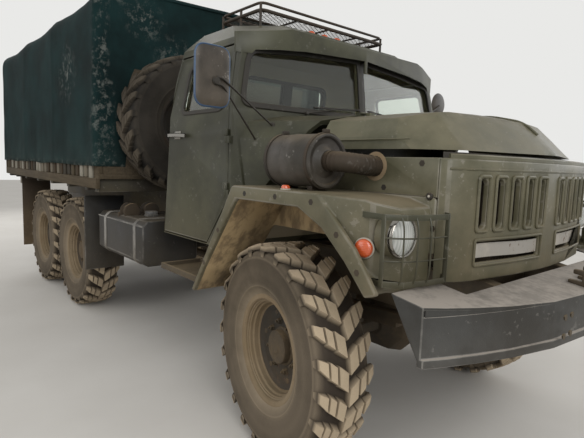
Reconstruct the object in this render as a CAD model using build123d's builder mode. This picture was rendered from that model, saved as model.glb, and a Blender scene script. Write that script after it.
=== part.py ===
from build123d import *
import os
from math import atan2, cos, degrees, radians, sin, sqrt

os.makedirs("parts", exist_ok=True)

# Six-wheeled cargo truck. X points forward, Y to the truck's left, Z up; the origin lies
# on the ground below the middle of the whole truck. All sizes are millimetres.

# Axles and overall length
front_overhang = 1200
front_wheelbase = 3350
bogie_wheelbase = 1250
rear_overhang = 1240
overall_length = front_overhang + front_wheelbase + bogie_wheelbase + rear_overhang
front_x = overall_length / 2
rear_x = -overall_length / 2
front_axle_x = front_x - front_overhang
mid_axle_x = front_axle_x - front_wheelbase
rear_axle_x = mid_axle_x - bogie_wheelbase
bogie_x = (mid_axle_x + rear_axle_x) / 2
track = 1820

# Tyres
tyre_radius = 570
tyre_width = 300
lug_count = 23
lug_thickness = 56
lug_sweep = 86
tread_radius = 538
sidewall_radius = 430
bead_radius = 258
bead_width = 200

# Wheels and hubs
wheel_sides = 10
rim_flange_radius = 297
rim_width = 226
flange_thickness = 6
rim_wall = 15
dish_outer = 30
dish_inner = 12
hub_radius = 92
hub_nose = 70
hub_back = -24.7
disc_thickness = 16
seat_gap = 0.3

# Steering
rest_steer = -9
kingpin_inset = 120
kingpin_boss_radius = 62
kingpin_boss_height = 140
knuckle_plate = 45
knuckle_half_width = 85

# Axles and springs
beam_radius = 60
brake_radius = 205
brake_width = 70
housing_radius = 225
pinion_reach = 330
pinion_radius = 75
pinion_z = 590
shaft_radius = 38
spring_y = 392
spring_width = 76
spring_seat_z = 665
leaf_thickness = 26
bogie_spring_z = 700

# Frame
rail_bottom = 800
rail_top = 1040
rail_inner_y = 352
rail_outer_y = 432
rail_wall = 8
rail_front_x = 3440
rail_bend_x = 3150
rail_rear_x = -3400
member_low_z = 900
member_high_z = 1010
member_depth = 60

# Cab
cab_rear_x = 990
firewall_x = 1985
cab_wall = 45
cab_floor_z = 1090
cowl_front_x = 2360
cowl_sheet = 28
cab_corner_x = 1900
door_front_x = 1870
belt_z = 1840
eave_z = 2290
roof_top_z = 2480
roof_break_x = 1600
cab_half_width = 1020
glass_inset = 18
glass_thickness = 6
door_gap = 6
door_rear_gap = 14
seat_base_z = 1330
seat_top_z = 1480

# Hinges: a knuckle on the fixed piece and one on the moving piece, end to end on one axis
door_hinge = (1875, cab_half_width + 15)
door_hinge_z = (1395, 1700)
door_knuckle_radius = 11
hood_hinge = (2365, 1853)
hood_hinge_y = (-420, 420)
hood_knuckle_radius = 7
gate_hinge = (-3491, 1365)
gate_hinge_y = (-900, 0, 900)
gate_knuckle_radius = 12
knuckle_length = 40

# Nose
nose_half_width = 765
nose_setback = 275
grille_depth = 162
grille_front_x = front_x - nose_setback
grille_seam_x = grille_front_x - grille_depth
grille_top_z = 1600
grille_bottom_z = 1072
nose_sheet = 28
hood_low_z = 1637
hood_rear_gap = 7

# Fenders
fender_half_width = 1130
fender_top_z = 1432
fender_sheet = 25
fender_back = ((1650, 765), (2080, fender_top_z))
arch_wall_z = 1190
lamp_y = 970
lamp_z = 1280
lamp_radius = 88
lamp_recess = 60
lamp_reach = 35
nose_face_x = grille_seam_x - 23
lamp_seat_x = nose_face_x - lamp_recess
lamp_front_x = nose_face_x + lamp_reach

# Bumper
bumper_low_z = 830
bumper_high_z = 1020
bumper_plate = 14
bumper_lip = 12
bumper_lip_height = 35
bumper_arc = [(0, 0), (450, 40), (700, 99), (870, 155), (1000, 206), (1085, 246)]
bumper_half_width = 1085
bumper_deck_x = 3120
bumper_deck_z = 1080
bumper_deck_fall = 0.155
bumper_deck_sheet = 10

# Cargo bed
bed_front_x = 237
bed_rear_x = -3462
bearer_low_z = 1270
bearer_width = 80
floor_low_z = 1380
bed_floor_z = 1430
floor_ledge = 10
board_thickness = 40
bed_inside_half_width = 1165
board_top_z = 1776
lattice_top_z = 2345
lattice_thickness = 35
corner_gap = 0.5
tailgate_thickness = 42
tailgate_low_z = 1385
tailgate_half_width = 1160
tailgate_gap = 8
tarp_low_z = 1480
curtain_low_z = 1790
tarp_thickness = 8
tarp_rear_x = -3490

axle_z = tyre_radius
wheel_y = track / 2
kingpin_y = wheel_y - kingpin_inset
hub_seat_y = wheel_y + hub_back - seat_gap
rail_web_y = rail_outer_y - rail_wall
floor_outer_y = bed_inside_half_width + board_thickness
ledge_z = bed_floor_z - floor_ledge


def save(part, name):
    part.label = name
    export_step(part, "parts/" + name + ".step")
    return part


# A block from its low corner to its high corner, added to or cut from the part being built.
def block(low, high, mode=Mode.ADD):
    size = [b - a for a, b in zip(low, high)]
    middle = [(a + b) / 2 for a, b in zip(low, high)]
    with Locations(tuple(middle)):
        Box(*size, mode=mode)


# A plate whose outline lies in the XZ plane, from y_low to y_high.
def side_plate(outline, y_low, y_high, mode=Mode.ADD):
    with BuildSketch(Plane.XZ.offset(-y_high)) as face:
        Polygon(*outline, align=None)
    extrude(face.sketch, amount=y_high - y_low, mode=mode)


# A plate whose outline lies in the YZ plane, from x_low to x_high.
def cross_plate(outline, x_low, x_high, mode=Mode.ADD):
    with BuildSketch(Plane.YZ.offset(x_low)) as face:
        Polygon(*outline, align=None)
    extrude(face.sketch, amount=x_high - x_low, mode=mode)


# A plate whose outline lies in the XY plane, from z_low to z_high.
def flat_plate(outline, z_low, z_high, mode=Mode.ADD):
    with BuildSketch(Plane.XY.offset(z_low)) as face:
        Polygon(*outline, align=None)
    extrude(face.sketch, amount=z_high - z_low, mode=mode)


# A plan outline from its left half, and a cross-section outline from its left half.
def both_halves(half):
    return half + [(x, -y) for x, y in reversed(half)]


def both_mirrored(half):
    return half + [(-y, z) for y, z in reversed(half) if y]


# A straight bar with a few flat sides between two points.
def bar(start, end, radius, sides=8, mode=Mode.ADD):
    run = Vector(*end) - Vector(*start)
    with BuildSketch(Plane(origin=start, z_dir=run)) as section:
        RegularPolygon(radius, sides)
    extrude(section.sketch, amount=run.length, mode=mode)


# A turned form with flat facets about the Y axis, from (radius, offset along Y) stations.
# closed joins the last station to the first, as on a ring; otherwise both ends are capped.
def turned(stations, sides, closed=True, phase=0.5):
    rings = []
    for radius, offset in stations:
        angles = [radians((k + phase) * 360 / sides) for k in range(sides)]
        rings.append([Vector(radius * cos(a), offset, radius * sin(a)) for a in angles])
    following = rings[1:] + rings[:1] if closed else rings[1:]
    faces = []
    for near, far in zip(rings, following):
        for k in range(sides):
            after = (k + 1) % sides
            corners = [near[k], near[after], far[after], far[k]]
            faces.append(Face(Wire.make_polygon(corners, close=True)))
    if not closed:
        for ring in (rings[0], rings[-1]):
            faces.append(Face(Wire.make_polygon(ring, close=True)))
    return Solid(Shell(faces))


# Tyre, axis along Y, centred on the origin. Each tread facet carries one chevron lug.
lug_reach = (lug_sweep + lug_thickness) / 2
lug_top = sqrt(tyre_radius**2 - lug_reach**2)
lug_pitch = 360 / lug_count
half_tyre = tyre_width / 2
tyre_profile = [
    (tread_radius, -half_tyre),
    (tread_radius, half_tyre),
    (sidewall_radius, half_tyre),
    (bead_radius, bead_width / 2),
    (bead_radius, -bead_width / 2),
    (sidewall_radius, -half_tyre),
]
with BuildPart() as tyre_form:
    add(turned(tyre_profile, lug_count))
    lugs = []
    for k in range(lug_count):
        turn = radians(k * lug_pitch)
        outward = Vector(cos(turn), 0, sin(turn))
        tangent_plane = Plane(origin=outward * lug_top, x_dir=(0, 1, 0), z_dir=outward)
        with BuildSketch(tangent_plane) as chevron:
            Polygon(
                (-half_tyre, lug_reach - lug_thickness),
                (0, -lug_reach),
                (half_tyre, lug_reach - lug_thickness),
                (half_tyre, lug_reach),
                (0, lug_thickness - lug_reach),
                (-half_tyre, lug_reach),
                align=None,
            )
        lugs.append(extrude(chevron.sketch, amount=tread_radius - 20 - lug_top, mode=Mode.PRIVATE))
    add(lugs)

# Wheel for the truck's left side, outer face towards +Y.
rim_bore_fit = bead_radius * cos(radians(180 / lug_count)) - seat_gap
half_rim = rim_width / 2
wheel_profile = [
    (hub_radius, hub_back),
    (hub_radius, dish_inner - disc_thickness),
    (rim_bore_fit - rim_wall, dish_outer - disc_thickness),
    (rim_bore_fit - rim_wall, -half_rim),
    (rim_bore_fit, -half_rim),
    (rim_bore_fit, half_rim),
    (rim_flange_radius, half_rim + flange_thickness),
    (rim_bore_fit - rim_wall, half_rim + flange_thickness),
    (rim_bore_fit - rim_wall, dish_outer),
    (hub_radius, dish_inner),
    (hub_radius - 14, hub_nose),
]
with BuildPart() as wheel_form:
    add(turned(wheel_profile, wheel_sides, closed=False))

# Each road tyre is rolled until the tips of one chevron stand on the ground.
lug_corner_angle = degrees(atan2(lug_reach, lug_top))
tyre_roll = Rotation(0, 90 + lug_corner_angle, 0)
road_wheels = [
    # name, axle x, side (+1 left, -1 right), steered
    ("front_left", front_axle_x, 1, True),
    ("front_right", front_axle_x, -1, True),
    ("mid_left", mid_axle_x, 1, False),
    ("mid_right", mid_axle_x, -1, False),
    ("rear_left", rear_axle_x, 1, False),
    ("rear_right", rear_axle_x, -1, False),
]


# The place of anything that steers, from the unsteered place: a turn about its kingpin.
def steered(side):
    pivot = Location((front_axle_x, side * kingpin_y, 0))
    return pivot * Rotation(0, 0, rest_steer) * pivot.inverse()


for name, axle_x, side, is_steered in road_wheels:
    place = Location((axle_x, side * wheel_y, axle_z))
    if is_steered:
        place = steered(side) * place
    outward_turn = Rotation(0, 0, 0) if side > 0 else Rotation(0, 0, 180)
    save(Part(tyre_form.part.moved(place * tyre_roll).wrapped), "tyre_" + name)
    save(Part(wheel_form.part.moved(place * outward_turn).wrapped), "wheel_" + name)

# Spare wheel, upright behind the cab, its axis along the truck.
spare_centre = (450, -530, 1850)
spare_place = Location(spare_centre) * Rotation(0, 0, -90)
save(Part(tyre_form.part.moved(spare_place).wrapped), "tyre_spare")
save(Part(wheel_form.part.moved(spare_place).wrapped), "wheel_spare")

# Knuckles, which steer about upright kingpins and carry the front wheels.
boss_top = axle_z + kingpin_boss_height / 2
boss_bottom = axle_z - kingpin_boss_height / 2
fork_top = boss_top + seat_gap
fork_bottom = boss_bottom - seat_gap
for side, name in ((1, "knuckle_left"), (-1, "knuckle_right")):
    with BuildPart() as knuckle:
        fork = [
            (front_axle_x - 60, side * (kingpin_y - kingpin_boss_radius)),
            (front_axle_x + 60, side * (kingpin_y - kingpin_boss_radius)),
            (front_axle_x + knuckle_half_width, side * (hub_seat_y - 10)),
            (front_axle_x - knuckle_half_width, side * (hub_seat_y - 10)),
        ]
        flat_plate(fork, fork_top, fork_top + knuckle_plate)
        flat_plate(fork, fork_bottom - knuckle_plate, fork_bottom)
        wall_y = sorted((side * (hub_seat_y - 25), side * (hub_seat_y - 5)))
        wall_low = (front_axle_x - knuckle_half_width, wall_y[0], fork_bottom - knuckle_plate)
        wall_high = (front_axle_x + knuckle_half_width, wall_y[1], fork_top + knuckle_plate)
        block(wall_low, wall_high)
        disc_inner = (front_axle_x, side * (hub_seat_y - 22), axle_z)
        disc_outer = (front_axle_x, side * hub_seat_y, axle_z)
        bar(disc_inner, disc_outer, brake_radius, sides=10)
    save(Part(knuckle.part.moved(steered(side)).wrapped), name)


# An axle beam with its gear housing and spring seats.
def axle_beam(axle_x, half_length):
    bar((axle_x, -half_length, axle_z), (axle_x, half_length, axle_z), beam_radius, sides=6)
    with Locations((axle_x, 0, axle_z)):
        add(turned(housing_profile, 8, closed=False))
    for side in (1, -1):
        y = side * spring_y
        low = (axle_x - 60, y - spring_width / 2, axle_z + beam_radius - 12)
        block(low, (axle_x + 60, y + spring_width / 2, spring_seat_z))


housing_profile = [
    (80, -200),
    (housing_radius - 35, -115),
    (housing_radius, 0),
    (housing_radius - 35, 115),
    (80, 200),
]
with BuildPart() as front_axle:
    axle_beam(front_axle_x, kingpin_y)
    pinion_root = (front_axle_x - 150, 0, pinion_z)
    bar(pinion_root, (front_axle_x - pinion_reach, 0, pinion_z), pinion_radius)
    for side in (1, -1):
        foot = (front_axle_x, side * kingpin_y, boss_bottom)
        head = (front_axle_x, side * kingpin_y, boss_top)
        bar(foot, head, kingpin_boss_radius)
save(front_axle.part, "front_axle")

with BuildPart() as rear_axles:
    for axle_x in (mid_axle_x, rear_axle_x):
        axle_beam(axle_x, hub_seat_y)
        bar((axle_x + 150, 0, pinion_z), (axle_x + pinion_reach, 0, pinion_z), pinion_radius)
        for side in (1, -1):
            drum_inner = (axle_x, side * (hub_seat_y - brake_width), axle_z)
            drum_outer = (axle_x, side * (hub_seat_y - 5), axle_z)
            bar(drum_inner, drum_outer, brake_radius, sides=10)
    tail_end = (mid_axle_x - pinion_reach, 0, pinion_z)
    bar((mid_axle_x - 150, 0, pinion_z), tail_end, pinion_radius)
save(rear_axles.part, "rear_axles")

# Leaf springs. A stack's knots give half a leaf's bend as (distance from the middle, rise).
front_knots = [(80, 0), (350, 14), (500, 32), (640, 55)]
bogie_knots = [(80, 0), (330, -14), (550, spring_seat_z - bogie_spring_z), (700, spring_seat_z - bogie_spring_z)]


def leaf(centre_x, low_z, knots):
    half = [(reach, low_z + rise) for reach, rise in knots]
    lower = [(centre_x - x, z) for x, z in reversed(half)] + [(centre_x + x, z) for x, z in half]
    upper = [(x, z + leaf_thickness) for x, z in reversed(lower)]
    side_plate(lower + upper, spring_y - spring_width / 2, spring_y + spring_width / 2)


with BuildPart() as leaf_springs:
    for k in range(3):
        leaf(front_axle_x, spring_seat_z + k * leaf_thickness, front_knots[: k + 2])
        leaf(bogie_x, bogie_spring_z + k * leaf_thickness, bogie_knots[: 4 - k])
    eye_low = spring_seat_z + 2 * leaf_thickness + front_knots[-1][1]
    for side in (1, -1):
        x = front_axle_x + side * 610
        block((x - 30, spring_y - 30, eye_low), (x + 30, spring_y + 30, rail_bottom))
    clamp_low = bogie_spring_z + 2 * leaf_thickness
    block((bogie_x - 90, spring_y - 30, clamp_low), (bogie_x + 90, spring_y + 30, rail_bottom))
    mirror(about=Plane.XZ)
save(leaf_springs.part, "leaf_springs")

# Frame: two channels opening inwards, their noses tapered
nose_top_z = rail_top - 52
nose_low_z = rail_bottom + 28
with BuildPart() as frame_rails:
    web = [
        (rail_rear_x, rail_bottom),
        (rail_bend_x, rail_bottom),
        (rail_front_x, nose_low_z),
        (rail_front_x, nose_top_z),
        (rail_bend_x, rail_top),
        (rail_rear_x, rail_top),
    ]
    side_plate(web, rail_web_y, rail_outer_y)
    flanges = [
        # outer edge of the flange as (x, z) points, side its sheet lies on
        ([(rail_rear_x, rail_bottom), (rail_bend_x, rail_bottom), (rail_front_x, nose_low_z)], 1),
        ([(rail_rear_x, rail_top), (rail_bend_x, rail_top), (rail_front_x, nose_top_z)], -1),
    ]
    for edge, inward in flanges:
        inner_edge = [(x, z + inward * rail_wall) for x, z in reversed(edge)]
        side_plate(edge + inner_edge, rail_inner_y, rail_outer_y)
    mirror(about=Plane.XZ)
save(frame_rails.part, "frame_rails")

with BuildPart() as crossmembers:
    for x in (2960, 1180, 760, -300, bogie_x, -3390):
        back = x + rail_wall
        block((x, -rail_web_y, member_low_z), (back, rail_web_y, member_high_z))
        block((x, -rail_web_y, member_low_z), (x + member_depth, rail_web_y, member_low_z + rail_wall))
        block((x, -rail_web_y, member_high_z - rail_wall), (x + member_depth, rail_web_y, member_high_z))
save(crossmembers.part, "crossmembers")

# Winch behind the bumper
winch_x = 3330
winch_z = 905
with BuildPart() as winch:
    bar((winch_x, -rail_web_y, winch_z), (winch_x, rail_web_y, winch_z), 25, sides=6)
    bar((winch_x, -200, winch_z), (winch_x, 200, winch_z), 66)
    for y in (-212, 200):
        bar((winch_x, y, winch_z), (winch_x, y + 12, winch_z), 105, sides=10)
    block((winch_x - 90, 230, winch_z - 70), (winch_x + 70, 340, winch_z + 80))
save(winch.part, "winch")

# Engine, gearbox and transfer case, with the mounts that hold them to the rails
engine_rear_x = 2080
engine_front_x = 2880
transfer_front_x = 650
transfer_rear_x = 250
pipe_y = -290
pipe_z = 690
pipe_radius = 32
with BuildPart() as powertrain:
    half_block = [(150, 830), (290, 1150), (330, 1450), (200, 1500)]
    cross_plate(both_mirrored(half_block), engine_rear_x, engine_front_x)
    block((engine_front_x - 20, -60, 900), (2955, 60, 1020))
    for x in (2200, 2700):
        block((x, -rail_web_y, 940), (x + 80, rail_web_y, 1000))
    block((1450, -170, 760), (engine_rear_x + 20, 170, 1020))
    bar((transfer_front_x, 0, 830), (1460, 0, 830), 40)
    block((transfer_rear_x, -200, 520), (transfer_front_x, 200, 900))
    block((420, -rail_web_y, 860), (480, rail_web_y, 895))
    block((2170, pipe_y - 30, pipe_z - 35), (2230, pipe_y + 30, 960))
save(powertrain.part, "powertrain")

with BuildPart() as driveshafts:
    shaft_runs = [
        # front end, rear end
        (front_axle_x - pinion_reach, transfer_front_x),
        (transfer_rear_x, mid_axle_x + pinion_reach),
        (mid_axle_x - pinion_reach, rear_axle_x + pinion_reach),
    ]
    for front_end, rear_end in shaft_runs:
        bar((front_end, 0, pinion_z), (rear_end, 0, pinion_z), shaft_radius, sides=6)
        for x, away in ((front_end, -1), (rear_end, 1)):
            bar((x, 0, pinion_z), (x + away * 60, 0, pinion_z), shaft_radius + 22, sides=6)
save(driveshafts.part, "driveshafts")

with BuildPart() as radiator:
    block((3060, -360, 1070), (3130, 360, 1580))
    for y in (-400, 355):
        block((3060, y, rail_top), (3130, y + 45, 1100))
save(radiator.part, "radiator")

with BuildPart() as exhaust:
    bar((2170, pipe_y, pipe_z), (90, pipe_y, pipe_z), pipe_radius)
    bar((100, pipe_y, pipe_z), (-600, pipe_y, pipe_z), 90, sides=12)
    bar((-590, pipe_y, pipe_z), (-720, pipe_y, pipe_z), pipe_radius)
    for x in (-560, 20):
        block((x, pipe_y - 85, pipe_z), (x + 40, pipe_y - 65, rail_bottom))
save(exhaust.part, "exhaust")


# Height of the bumper's sloping deck above a place along the truck.
def deck_z(x):
    return bumper_deck_z - bumper_deck_fall * (x - bumper_deck_x)


# Bumper: a plate bent round in plan with a lip below, a sloping deck and end gussets
plate_front_x = front_x - bumper_lip
arc = [(-drop, y) for y, drop in bumper_arc]
both_sides = [(x, -y) for x, y in reversed(arc)] + arc[1:]
with BuildPart() as bumper:
    layers = [
        # front x at the middle, depth, low z, high z
        (plate_front_x, bumper_plate, bumper_low_z, bumper_high_z),
        (front_x, bumper_lip + bumper_plate, bumper_low_z, bumper_low_z + bumper_lip_height),
    ]
    for middle_x, depth, low_z, high_z in layers:
        front_edge = [(middle_x + x, y) for x, y in both_sides]
        rear_edge = [(x - depth, y) for x, y in reversed(front_edge)]
        flat_plate(front_edge + rear_edge, low_z, high_z)
    notch_y = nose_half_width + 12
    notch_x = grille_front_x + 9
    deck_plan = [(plate_front_x + x, y) for x, y in both_sides] + [
        (bumper_deck_x, bumper_half_width),
        (bumper_deck_x, notch_y),
        (notch_x, notch_y),
        (notch_x, -notch_y),
        (bumper_deck_x, -notch_y),
        (bumper_deck_x, -bumper_half_width),
    ]
    with BuildPart(mode=Mode.PRIVATE) as deck:
        flat_plate(deck_plan, bumper_high_z - 40, bumper_deck_z + 20)
        deck_top = [(bumper_deck_x, deck_z(bumper_deck_x)), (front_x, deck_z(front_x))]
        deck_under = [(x, z - bumper_deck_sheet) for x, z in reversed(deck_top)]
        side_plate(deck_top + deck_under, -bumper_half_width, bumper_half_width, mode=Mode.INTERSECT)
    add(deck.part)
    end_x = plate_front_x - bumper_arc[-1][1]
    for side in (1, -1):
        y_low, y_high = sorted((side * bumper_half_width, side * (bumper_half_width - 12)))
        gusset = [
            (bumper_deck_x, deck_z(bumper_deck_x) - 4),
            (end_x, deck_z(end_x) - 4),
            (end_x, bumper_low_z),
        ]
        side_plate(gusset, y_low, y_high)
        y_low, y_high = sorted((side * rail_inner_y, side * rail_outer_y))
        block((rail_front_x, y_low, nose_low_z), (plate_front_x - 40, y_high, nose_top_z))
save(bumper.part, "bumper")

# Tow hooks: one on the bumper's deck, one at the tail of the frame
with BuildPart() as tow_hooks:
    hook_front_x = 3480
    hook_rear_x = 3380
    hook = [
        (hook_rear_x, deck_z(hook_rear_x)),
        (hook_front_x, deck_z(hook_front_x)),
        (hook_front_x, 1070),
        (hook_front_x - 25, 1105),
        (hook_rear_x + 20, 1105),
        (hook_rear_x + 20, 1085),
        (hook_front_x - 40, 1080),
        (hook_front_x - 40, 1050),
        (hook_rear_x, 1055),
    ]
    side_plate(hook, -75, -50)
    side_plate(hook, 50, 75)
    block((rail_rear_x - 10, -110, 880), (-3390, 110, 1000))
    tail_hook = [
        (rail_rear_x, 900),
        (rail_rear_x, 980),
        (-3480, 980),
        (-3505, 950),
        (-3505, 890),
        (-3450, 860),
        (-3450, 885),
        (-3480, 905),
        (-3480, 935),
        (-3455, 945),
    ]
    side_plate(tail_hook, -25, 25)
save(tow_hooks.part, "tow_hooks")

# Grille: a panel bowed in plan and wrapping round to the nose's sides, with five upright
# slots a side above two low openings
grille_bow = [
    # distance back from the front, distance in from the nose's half width
    (grille_depth, 0),
    (125, 23),
    (89, 75),
    (63, 155),
    (16, 465),
    (0, 705),
]
grille_outer = [(grille_front_x - back, nose_half_width - inward) for back, inward in grille_bow]
grille_inner = [(grille_seam_x, nose_half_width - nose_sheet)] + [
    (x - nose_sheet * turn, y - nose_sheet * (1 - turn)) for (x, y), turn in zip(grille_outer[1:], (0.5, 0.7, 0.9, 1, 1))
]
slot_low_z = 1300
slot_high_z = 1518
slot_pitch = 116
slot_half_width = 29
slot_corner = 20
with BuildPart() as grille:
    flat_plate(both_halves(grille_outer), grille_bottom_z, grille_top_z)
    flat_plate(both_halves(grille_inner), grille_bottom_z, grille_top_z, mode=Mode.SUBTRACT)
    for k in range(5):
        for y in (slot_pitch * (k + 0.93), -slot_pitch * (k + 0.93)):
            left, right = y - slot_half_width, y + slot_half_width
            slot = [
                (left, slot_low_z + slot_corner),
                (left + slot_corner, slot_low_z),
                (right - slot_corner, slot_low_z),
                (right, slot_low_z + slot_corner),
                (right, slot_high_z - slot_corner),
                (right - slot_corner, slot_high_z),
                (left + slot_corner, slot_high_z),
                (left, slot_high_z - slot_corner),
            ]
            cross_plate(slot, grille_seam_x, grille_front_x + 10, mode=Mode.SUBTRACT)
    for side in (1, -1):
        block_low = (grille_seam_x, min(side * 95, side * 600), 1152)
        block(block_low, (grille_front_x + 10, max(side * 95, side * 600), 1242), mode=Mode.SUBTRACT)
save(grille.part, "grille")

# Side panels between the cowl and the grille; the right one takes the air duct
duct_wall = (2745, -nose_half_width, 1556)
duct_radius = 48
with BuildPart() as side_panels:
    low = (cowl_front_x, nose_half_width - nose_sheet, fender_top_z)
    block(low, (grille_seam_x, nose_half_width, grille_top_z))
    mirror(about=Plane.XZ)
    hole_start = (duct_wall[0], -nose_half_width - 20, duct_wall[2])
    hole_end = (duct_wall[0], nose_sheet - nose_half_width + 20, duct_wall[2])
    bar(hole_start, hole_end, duct_radius + 8, sides=12, mode=Mode.SUBTRACT)
save(side_panels.part, "side_panels")


# A convex form cut from a block by outward faces, each given by a point and a normal.
# Faces that lean sideways are used on both sides; inset moves every face inwards.
def faceted(low, high, faces, inset=0):
    with BuildPart() as form:
        block(low, high)
        for point, normal in faces:
            for side in ((1, -1) if normal[1] else (1,)):
                outward = Vector(normal[0], side * normal[1], normal[2]).normalized()
                origin = Vector(point[0], side * point[1], point[2]) - outward * inset
                split(bisect_by=Plane(origin=origin, z_dir=outward), keep=Keep.BOTTOM)
    return form.part


# Where the fenders' rear face, which the cab's toe board follows, lies at a height.
def fender_back_x(z):
    (low_x, low_z), (high_x, high_z) = fender_back
    return low_x + (z - low_z) * (high_x - low_x) / (high_z - low_z)


# Fenders: an arch sheet with a deep outer lip, an inner wall and a nose for the headlamp
arch = [(1680, 765), (1790, 930), (2115, 1362), (2610, 1362), (2766, 1287), (2907, 1165), (3022, 1042)]
sheet_low_y = nose_half_width - 5
with BuildPart() as fenders:
    top_sheet = list(fender_back) + [
        (2735, fender_top_z),
        (2735, fender_top_z - fender_sheet),
        (2149, fender_top_z - fender_sheet),
        arch[1],
        arch[0],
    ]
    side_plate(top_sheet, sheet_low_y, fender_half_width)
    front_sheet = arch[3:] + [(3041, 1059), (2924, 1184), (2779, 1310), (2616, 1387)]
    side_plate(front_sheet, sheet_low_y, fender_half_width)
    lip = list(fender_back) + [(2735, fender_top_z), (2960, 1225), (3085, 1062)] + arch[::-1]
    side_plate(lip, fender_half_width - fender_sheet, fender_half_width)
    wall = [
        (fender_back_x(arch_wall_z), arch_wall_z),
        fender_back[1],
        (grille_seam_x, fender_top_z),
        (grille_seam_x, arch_wall_z),
    ]
    side_plate(wall, nose_half_width - nose_sheet, nose_half_width)
    with BuildPart(mode=Mode.PRIVATE) as nose:
        plan = [
            (2600, sheet_low_y),
            (nose_face_x, sheet_low_y),
            (nose_face_x, 950),
            (2980, 1050),
            (2850, 1100),
            (2735, fender_half_width),
            (2600, fender_half_width),
        ]
        flat_plate(plan, 1000, 1500)
        profile = [
            (2600, fender_top_z),
            (2735, fender_top_z),
            (2950, 1420),
            (3050, 1390),
            (3070, 1340),
            (3070, 1045),
        ] + arch[:2:-1] + [(2600, 1362)]
        side_plate(profile, 700, 1200, mode=Mode.INTERSECT)
    add(nose.part)
    hole_end = (lamp_front_x + 20, lamp_y, lamp_z)
    bar((lamp_seat_x, lamp_y, lamp_z), hole_end, lamp_radius + 0.4, sides=16, mode=Mode.SUBTRACT)
    mirror(about=Plane.XZ)
save(fenders.part, "fenders")

with BuildPart() as headlamps:
    bar((lamp_seat_x, lamp_y, lamp_z), (lamp_front_x, lamp_y, lamp_z), lamp_radius, sides=16)
    mirror(about=Plane.XZ)
save(headlamps.part, "headlamps")

# Lamp guards: two straps bent round the headlamp from the fender to the grille, on uprights
guard_stand_off = 70
guard_strap = 5
guard_x = nose_face_x + guard_stand_off
guard_path = [
    (2930, 1062),
    (guard_x - 70, 1078),
    (guard_x - 4, 1020),
    (guard_x + 24, 900),
    (guard_x + 34, 800),
    (guard_x + 20, nose_half_width - 1),
    (grille_seam_x + 10, nose_half_width - 34),
]
with BuildPart() as lamp_guards:
    for low_z in (1088, 1350):
        with BuildSketch(Plane.XY.offset(low_z)):
            with BuildLine():
                Polyline(*guard_path)
            trace(line_width=guard_strap)
        extrude(amount=24)
    for x, y in (guard_path[1], guard_path[4]):
        block((x - 10, y - guard_strap / 2, 1088), (x + 10, y + guard_strap / 2, 1374))
    flat_plate(plan, 1000, 1500, mode=Mode.SUBTRACT)
    side_plate(front_sheet[4:] + [(2616, 1000), (3096, 1000)], 1000, fender_half_width, mode=Mode.SUBTRACT)
    flat_plate(both_halves(grille_outer), grille_bottom_z, grille_top_z, mode=Mode.SUBTRACT)
    mirror(about=Plane.XZ)
save(lamp_guards.part, "lamp_guards")

# Cab: a hollow convex body with a cowl in front, cut for the doors and the windows
cab_faces = [
    ((firewall_x, 0, 0), (1, 0, 0)),
    ((fender_back[0][0], 0, fender_back[0][1]), (667, 0, -430)),
    ((cab_rear_x, 0, 1040), (-800, 0, 95)),
    ((1145, 0, 2330), (-130, 0, 100)),
    ((roof_break_x, 0, roof_top_z), (95, 0, 285)),
    ((0, cab_half_width, 0), (0, 1, 0)),
    ((0, cab_half_width, belt_z), (0, 450, 105)),
    ((0, cab_half_width - 105, eave_z), (0, 120, 115)),
    ((0, cab_half_width - 220, 2410), (0, 52, 350)),
    ((1872, cab_half_width - 220, 2290), (343, 253, 904)),
    ((cab_rear_x, cab_half_width - 60, 1040), (-1, 1, 0.118)),
    ((cab_corner_x, cab_half_width, 0), (105, 160, 0)),
    ((1980, 0, 1850), (1, 0.075, 0.136)),
]

# The cowl narrows from the cab's width to the nose's, with the hood's shoulders along its sides
cowl_faces = [
    ((cab_corner_x, cab_half_width, 0), (105, 160, 0)),
    ((2060, cab_half_width - 105, 0), (150, 300, 0)),
    ((cowl_front_x, nose_half_width, 1690), (150, 300, 218)),
    ((cowl_front_x, nose_half_width - 65, 1790), (150, 300, 1467)),
    ((fender_back[1][0], 0, fender_top_z), (667, 0, -430)),
]

# A visor along the top of the windscreen
visor_faces = [
    ((1980, 0, 2340), (0.36, 0, 1)),
    ((1925, 780, 2318), (0.36, 0.28, 1)),
    ((1985, 0, 0), (1, 0.06, 0)),
    ((1945, 700, 0), (1, 0.35, 0)),
    ((1885, 950, 0), (0.5, 1, 0)),
]
visor_sheet = 14


def cab_form(inset, low_z=rail_top, high_z=roof_top_z):
    return faceted((900, -1100, low_z), (2100, 1100, high_z), cab_faces, inset)


# Door and window outlines in side view, grown or shrunk by a gap on the sides named.
def door_outline(front_gap, rear_gap):
    return [
        (1064 - rear_gap, 1050 - front_gap),
        (1640 + front_gap * 0.7, 1050 - front_gap),
        (door_front_x + front_gap, 1340 - front_gap),
        (door_front_x + front_gap, belt_z),
        (1800 + front_gap, 2240 + front_gap),
        (1150 - rear_gap, 2240 + front_gap),
        (1144 - rear_gap, belt_z),
    ]


door_window = [
    (1330, 1855),
    (1775, 1855),
    (1806, 1890),
    (1768, 2130),
    (1735, 2165),
    (1325, 2165),
    (1292, 2130),
    (1298, 1887),
]
pane_outline = [(13, 1885), (915, 1885), (948, 1912), (893, 2165), (855, 2204), (510, 2240), (13, 2262)]
rear_window = [
    (-420, 1930),
    (-390, 1900),
    (390, 1900),
    (420, 1930),
    (420, 2170),
    (390, 2200),
    (-390, 2200),
    (-420, 2170),
]


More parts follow.
